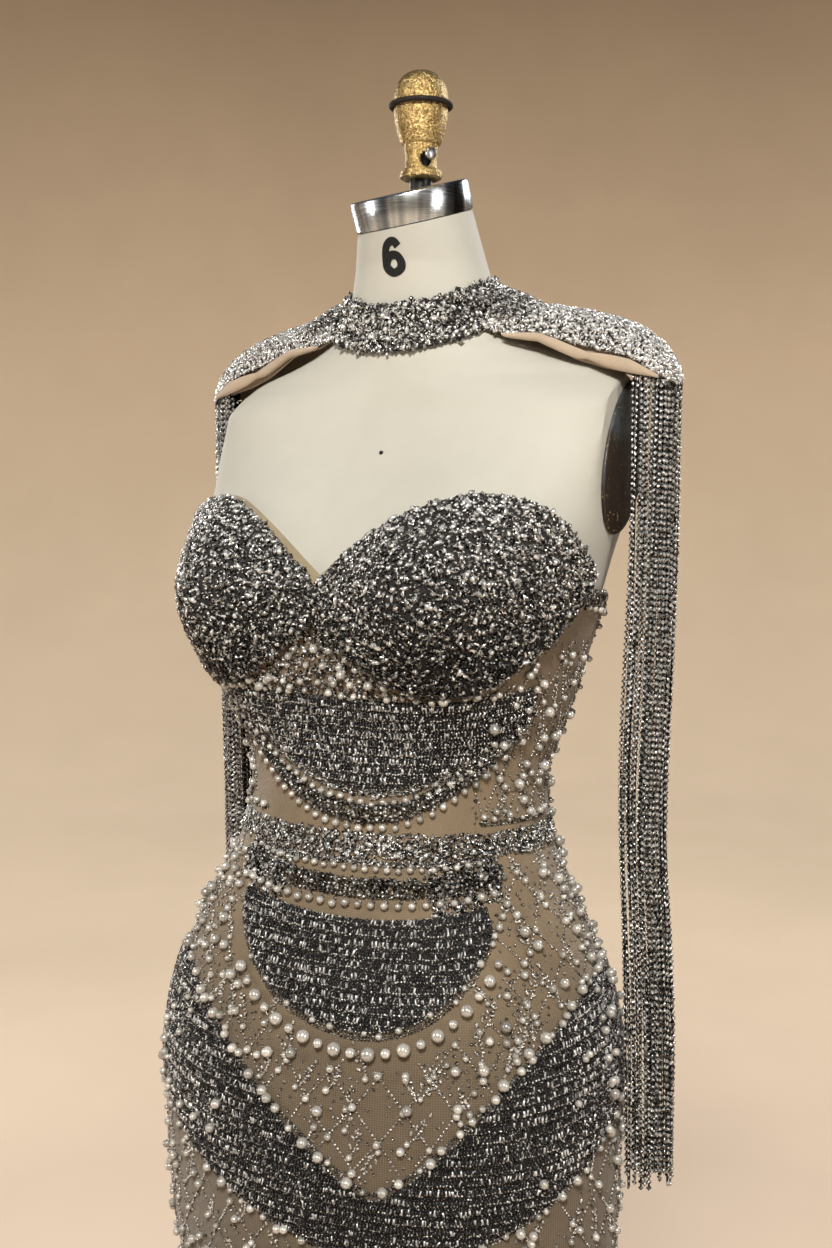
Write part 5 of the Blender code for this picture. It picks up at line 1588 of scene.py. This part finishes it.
def sprigs(t, z, turn, scale):
    """Leafy sprigs: a stem of small beads, three pairs of long leaves and one at the tip, and a pearl at the foot."""
    count = len(t)
    stem = np.linspace(0, 0.024, 9)
    scale = np.asarray(scale)[:, None]
    places = lay_out(t, z, 0.0022 * np.sin(stem * 150) * scale, stem * scale, turn)
    stem_seats = on_gown(*places, CLOTH_OUT + 0.0006)
    stems = bead_parts(SEED, stem_seats, (0.0014, 0.0013, 0.0012), 0.62, 0.28)
    base = np.array((0.006, 0.006, 0.013, 0.013, 0.019, 0.019, 0.027))
    side = np.array((1, -1, 1, -1, 1, -1, 0.0))
    length = np.array((0.0050, 0.0050, 0.0044, 0.0044, 0.0036, 0.0036, 0.0042))
    lean = np.radians(np.array((48, -48, 42, -42, 36, -36, 0.0)))
    across = side * length * 0.75 * np.sin(np.abs(lean)) * scale
    rise = (base + length * 0.75 * np.cos(lean)) * scale
    leaf_seats = on_gown(*lay_out(t, z, across, rise, turn), CLOTH_OUT + 0.0006)
    angle = (np.asarray(turn)[:, None] + np.pi / 2 - lean).ravel()
    size = np.stack([(length * scale).ravel() * 0.62, np.full(count * 7, 0.0013), np.full(count * 7, 0.0011)], -1)
    leaves = bead_parts(NAVETTE, leaned(turned_by(leaf_seats, angle), 0.15), size, 0.68, 0.28)
    foot = on_gown(t, z, CLOTH_OUT + 0.0018)
    radius = rng.uniform(0.0019, 0.0030, count)
    return stems, leaves, round_pearls(foot, radius)


def region_lattice(first, last, low, high, apart, slope, wave=0.0012):
    """Two families of slanting bead lines that cross, kept between two edges; also the crossings' places."""
    fine = np.linspace(first, last, 500)
    middle = (low(fine).mean() + high(fine).mean()) / 2
    run = np.linalg.norm(np.diff(figure(fine, middle, GOWN_BUST), axis=0), axis=1)
    across = np.append(0, np.cumsum(run))
    lines, crossings = [], []
    starts = np.arange(-0.6, across[-1] + 0.6, apart)
    for way in (1, -1):
        for start in starts:
            z = middle + way * slope * (across - start) + wave * np.sin(across * 120 + start * 300)
            inside = (z > low(fine)) & (z < high(fine))
            if inside.sum() > 4:
                lines.append((fine[inside], z[inside]))
    for one in starts:
        for other in starts:
            at = (one + other) / 2
            z = middle + slope * (at - one)
            t = np.interp(at, across, fine)
            if 0 < at < across[-1] and low(t) < z < high(t):
                crossings.append((t, z))
    return lines, np.array(crossings).reshape(-1, 2)


def scattered(first, last, low, high, count, apart, crowd=None):
    """Random places in a region, none nearer than apart to another; crowd(t, z) gives the share that stay."""
    t, z = rng.uniform(first, last, count * 3), rng.uniform(0, 1, count * 3)
    z = low(t) + (high(t) - low(t)) * z
    if crowd is not None:
        stay = rng.random(len(t)) < crowd(t, z)
        t, z = t[stay], z[stay]
    points = figure(t, z, GOWN_BUST)
    kept = []
    for n, point in enumerate(points):
        if not kept or (np.linalg.norm(points[kept] - point, axis=1) > apart).all():
            kept.append(n)
        if len(kept) == count:
            break
    return t[kept], z[kept]


REGIONS = (
    # first and last t, lower and upper edge, lines' distance, slope, sprigs, sprigs' distance, loose seeds, pearls
    (-27.0, 62.0, lambda t: hip_high(t) + 0.008, lambda t: np.minimum(chain_middle(t) - 0.010, 0.985), 0.034, 1.3,
     26, 0.017, 260, 26),
    (54.0, 118.0, lambda t: np.maximum(hip_high(t) + 0.007, 0.90), level(1.050), 0.030, 1.2, 22, 0.020, 240, 30),
    (-62.0, -27.0, lambda t: hip_high(t) + 0.007, level(1.046), 0.030, 1.2, 14, 0.018, 150, 20),
    (52.0, 99.0, level(1.078), lambda t: np.minimum(cup_foot(np.minimum(t, 85.0)) - 0.006, 1.205), 0.021, 2.6,
     12, 0.019, 190, 22),
    (-99.0, -46.0, level(1.078), lambda t: np.minimum(cup_foot(np.minimum(-t, 85.0)) - 0.006, 1.205), 0.021, 2.6,
     14, 0.019, 190, 20),
    (-44.0, 52.0, lambda t: midriff_high(t) + 0.005, lambda t: cup_foot(t) - 0.004, 0.014, 1.6, 8, 0.013, 110, 16),
    (-63.0, 117.0, level(0.690), lambda t: hip_low(t) - 0.009, 0.036, 1.4, 64, 0.021, 620, 70),
)


def build_net_beads():
    """Bead lines that cross, sprigs between them, pearls at the crossings and loose seeds, on the bare net."""
    lines_of, sprig_parts, pearl_parts, seed_parts = [], [], [], []
    for first, last, low, high, apart, slope, sprig_count, sprig_apart, seeds, pearls in REGIONS:
        lines, crossings = region_lattice(first, last, low, high, apart, slope)
        for t, z in lines:
            seats = leaned(strung(t, z, 0.0030, CLOTH_OUT + 0.0006), 0.25)
            lines_of.append(bead_parts(SEED, seats, (0.0013, 0.0012, 0.0011), 0.58, 0.28))
        if len(crossings):
            seats = on_gown(crossings[:, 0], crossings[:, 1], CLOTH_OUT + 0.0022)
            radius = rng.uniform(0.0022, 0.0034, len(seats))
            pearl_parts.append(round_pearls(seats, radius))
        t, z = scattered(first, last, low, high, sprig_count, sprig_apart)
        stem, leaves, feet = sprigs(t, z, rng.uniform(-0.7, 0.7, len(t)) + np.pi * (rng.random(len(t)) < 0.3),
                                    rng.uniform(0.55, 0.95, len(t)))
        sprig_parts += [stem, leaves]
        pearl_parts.append(feet)
        t, z = scattered(first, last, low, high, seeds, 0.0034)
        seats = leaned(on_gown(t, z, CLOTH_OUT + 0.0006), 0.3)
        seed_parts.append(bead_parts(CHATON, seats, sized(len(seats), 0.0010, 0.0017), 0.66, 0.28))
        t, z = scattered(first, last, low, high, pearls, 0.009)
        radius = rng.uniform(0.0020, 0.0044, len(t))
        seats = on_gown(t, z, CLOTH_OUT + radius * 0.85)
        pearl_parts.append(round_pearls(seats, radius))
    beads("net_lines", lines_of, "silver_seed")
    beads("net_sprigs", sprig_parts, "silver_seed")
    beads("net_seeds", seed_parts, "crystal")
    beads("net_pearls", pearl_parts, "pearl", (), True)


def build_back_and_skirt_beads():
    """Plainer beadwork where the gown turns away: sprigs, seeds and pearls that thin out towards the hem."""
    def sparser(t, z):
        return np.clip((z - 0.05) / 0.65, 0.06, 1.0) ** 1.5

    sprig_parts, seed_parts, pearl_parts = [], [], []
    for first, last, low, high, sprig_count, seeds, pearls, crowd in (
        (-180.0, 180.0, level(0.06), level(0.690), 150, 1500, 170, sparser),
        (117.0, 176.0, level(0.690), level(1.050), 44, 420, 46, None),
        (-176.0, -63.0, level(0.690), level(1.050), 70, 700, 70, None),
        (99.0, 176.0, level(1.072), lambda t: bodice_top(t) - 0.006, 20, 260, 24, None),
        (-176.0, -99.0, level(1.072), lambda t: bodice_top(t) - 0.006, 20, 260, 24, None),
    ):
        t, z = scattered(first, last, low, high, sprig_count, 0.028, crowd)
        stem, leaves, feet = sprigs(t, z, rng.uniform(-0.9, 0.9, len(t)), rng.uniform(0.7, 1.1, len(t)))
        sprig_parts += [stem, leaves]
        pearl_parts.append(feet)
        t, z = scattered(first, last, low, high, seeds, 0.0045, crowd)
        seats = leaned(on_gown(t, z, CLOTH_OUT + 0.0006), 0.3)
        seed_parts.append(bead_parts(SEED, seats, sized(len(seats), 0.0010, 0.0016), 0.66, 0.28))
        t, z = scattered(first, last, low, high, pearls, 0.014, crowd)
        radius = rng.uniform(0.0018, 0.0036, len(t))
        seats = on_gown(t, z, CLOTH_OUT + radius * 0.85)
        pearl_parts.append(round_pearls(seats, radius))
    t = np.linspace(-179.8, 179.8, 1500)
    pearl_parts.append(strewn_pearls(t, np.full(t.shape, HEM + 0.006), 0.010, 0.0018, 0.0030, CLOTH_OUT))
    for height in (0.012, 0.030):
        seats = leaned(strung(t, np.full(t.shape, HEM + height), 0.0046, CLOTH_OUT + 0.0004), 0.25)
        seed_parts.append(bead_parts(CHATON, seats, sized(len(seats), 0.0013, 0.0018), 0.60, 0.28))
    for side in (1, -1):
        t = np.linspace(86, 179, 300) * side
        seats = leaned(strung(t, bodice_top(t) - 0.0022, 0.0038, CLOTH_OUT + 0.0004), 0.25)
        seed_parts.append(bead_parts(CHATON, seats, sized(len(seats), 0.0015, 0.0020), 0.60, 0.28))
        t = np.linspace(85.5, 112, 120) * side
        for down in (0.0030, 0.0065, 0.0100):
            seed_parts += rough_edge(t, bodice_top(t) - down, CLOTH_OUT + 0.0006)
        pearl_parts.append(strewn_pearls(t, bodice_top(t) - 0.0135, 0.008, 0.0020, 0.0032, CLOTH_OUT))
    beads("far_sprigs", sprig_parts, "silver_seed")
    beads("far_seeds", seed_parts, "crystal")
    beads("far_pearls", pearl_parts, "pearl", (), True)


# Gown: fringes ----------------------------------------------------------------------------------
STRANDS, INNER_STRANDS, CHAIN_PITCH, CHAIN_STONE = 26, 14, 0.0043, 0.0021
ROOT_TALL, ROOT_DROP, RIM_INSET = 0.005, 0.0012, 0.0020


def rim_points(count, inset=RIM_INSET):
    """Even steps along the rim of the left cap's rounded end, front to back, moved in under its wall."""
    rows = CAP_STATIONS[RIM_FROM:]
    rim = np.concatenate([rows[:, (0, 2, 3)], rows[::-1][:, (0, 4, 5)]])
    centre = np.array([rows[0, 0] - 0.004, rows[-1, (2, 4)].mean()])
    rim[:, :2] += unit(centre - rim[:, :2]) * inset
    length = np.append(0, np.cumsum(np.linalg.norm(np.diff(rim, axis=0), axis=1)))
    return np.stack([np.interp(np.linspace(0, length[-1], count), length, column) for column in rim.T], -1)


def strand_line(root, end, outwards, forwards, share, sign, height):
    """Points of one strand at these heights, in metres."""
    part = (root[2] - height) / (root[2] - end)
    x = root[0] + np.interp(part, share, outwards)
    y = root[1] - np.interp(part, share, forwards)
    return np.stack([x * sign, y, height], -1)


def build_fringes():
    """Strands of set stones that hang from the rim of each cap on a thin dark core."""
    smooth = [np.interp(np.linspace(0, 1, 60), STRAY[:, 0], column) for column in STRAY.T]
    kernel = np.ones(9) / 9
    smooth = [smooth[0]] + [np.convolve(np.pad(column, 4, "edge"), kernel, "valid") for column in smooth[1:]]
    for name, sign, (outwards, forwards) in (("left", 1, smooth[1:3]), ("right", -1, smooth[3:5])):
        parts = []
        rim = np.concatenate([rim_points(STRANDS + 2)[1:-1], rim_points(INNER_STRANDS + 2, RIM_INSET + 0.0035)[1:-1]])
        heart = rim[:, :2].mean(0)
        for root in rim:
            root = root - (0, 0, ROOT_TALL / 2)
            end = FRINGE_END + rng.uniform(0.006, 0.024)
            height = np.arange(root[2] - CHAIN_PITCH * rng.uniform(0.5, 1.5), end, -CHAIN_PITCH)
            line = strand_line(root, end, outwards, forwards, smooth[0], sign, height)
            swing = rng.uniform(0.0003, 0.0008) * np.sin(height * rng.uniform(20, 34) + rng.uniform(0, 6.3))
            line[:, 0] += swing
            away = unit(np.append((root[:2] - heart) * (sign, 1), 0) + 1e-9)
            turn = np.arctan2(away[1], away[0]) + 0.7 * np.sin(height * rng.uniform(9, 16) + rng.uniform(0, 6.3))
            turn = turn + rng.normal(0, 0.18, len(height))
            out = np.stack([np.cos(turn), np.sin(turn), 0 * turn], -1)
            up = np.broadcast_to((0.0, 0.0, 1.0), out.shape)
            seats = np.stack([line + out * 0.0004, np.cross(up, out), up, out], 1)
            # Painted shade: each strand's stones are lightest at its root and darker towards its foot.
            tone = 0.98 - 0.32 * (root[2] - height) / (root[2] - end)
            parts.append(bead_parts(BRILLIANT, leaned(seats, 0.10), (CHAIN_STONE, CHAIN_STONE, 0.0014), tone, 0.38))
            parts.append(core_of(line))
        strip = rim_points(24) - (0, 0, ROOT_DROP + ROOT_TALL / 2)
        strip[:, 0] *= sign
        out = unit((strip[:, :2] - strip[:, :2].mean(0)))
        seats = np.stack([strip, np.tile((0.0, 0, 1), (24, 1)), np.stack([-out[:, 1], out[:, 0], 0 * out[:, 0]], -1),
                          np.stack([out[:, 0], out[:, 1], 0 * out[:, 0]], -1)], 1)
        parts.append(bead_parts(BUGLE, seats, (0.0025, 0.0025, 0.0013), 0.35, 0.2))
        beads("fringe_chains_" + name, parts, "crystal", ("fringe_" + name,))


def core_of(line):
    """The dark core of one strand: a three-sided tube through every eighth point."""
    knots = np.concatenate([line[::8], line[-1:]])
    corner = ring(0.0008, 0.0, 3)
    points = (knots[:, None] + corner[None]).reshape(-1, 3)
    faces = [band(n * 3, (n + 1) * 3, 3)[:, ::-1] for n in range(len(knots) - 1)]
    last = (len(knots) - 1) * 3
    faces.append(np.array([(0, 1, 2), (last + 2, last + 1, last)]))
    faces = np.concatenate(faces)
    return points, faces, np.full(len(faces), 0.05)


# Gown: zip ----------------------------------------------------------------------------------------
def build_zip():
    """Teeth along the centre back seam, on both sides in turn, and a better finish on the slider and pull."""
    foot, head, pitch = 0.900, 1.186, 0.0022
    height = np.arange(foot, head, pitch)
    side = np.where(np.arange(len(height)) % 2 == 0, 1.0, -1.0)
    seats = on_gown(np.full(len(height), 180.0), height, CLOTH_OUT)
    seats[:, 0] += seats[:, 1] * (side * 0.0008)[:, None]
    box = np.array([(x, y, z) for z in (0, 1) for x, y in ((-1, -1), (1, -1), (1, 1), (-1, 1))], float)
    faces = np.concatenate([band(0, 4, 4), fan(0, 4, False), fan(4, 4, True)])
    beads("zip_teeth", [bead_parts((box, faces), seats, (0.0013, 0.0006, 0.00035), 0.5, 0.0)], "steel")
    for node in ("zip_slider", "zip_pull"):
        for slot in bpy.data.objects[node].material_slots:
            slot.material = FINISHES["steel"]


build_cloth()
build_collar_and_caps()
build_cup_stones()
build_collar_stones()
build_cap_stones()
build_bead_panels()
build_swags()
build_crusts()
build_pearl_rows()
build_net_beads()
build_back_and_skirt_beads()
build_fringes()
build_zip()
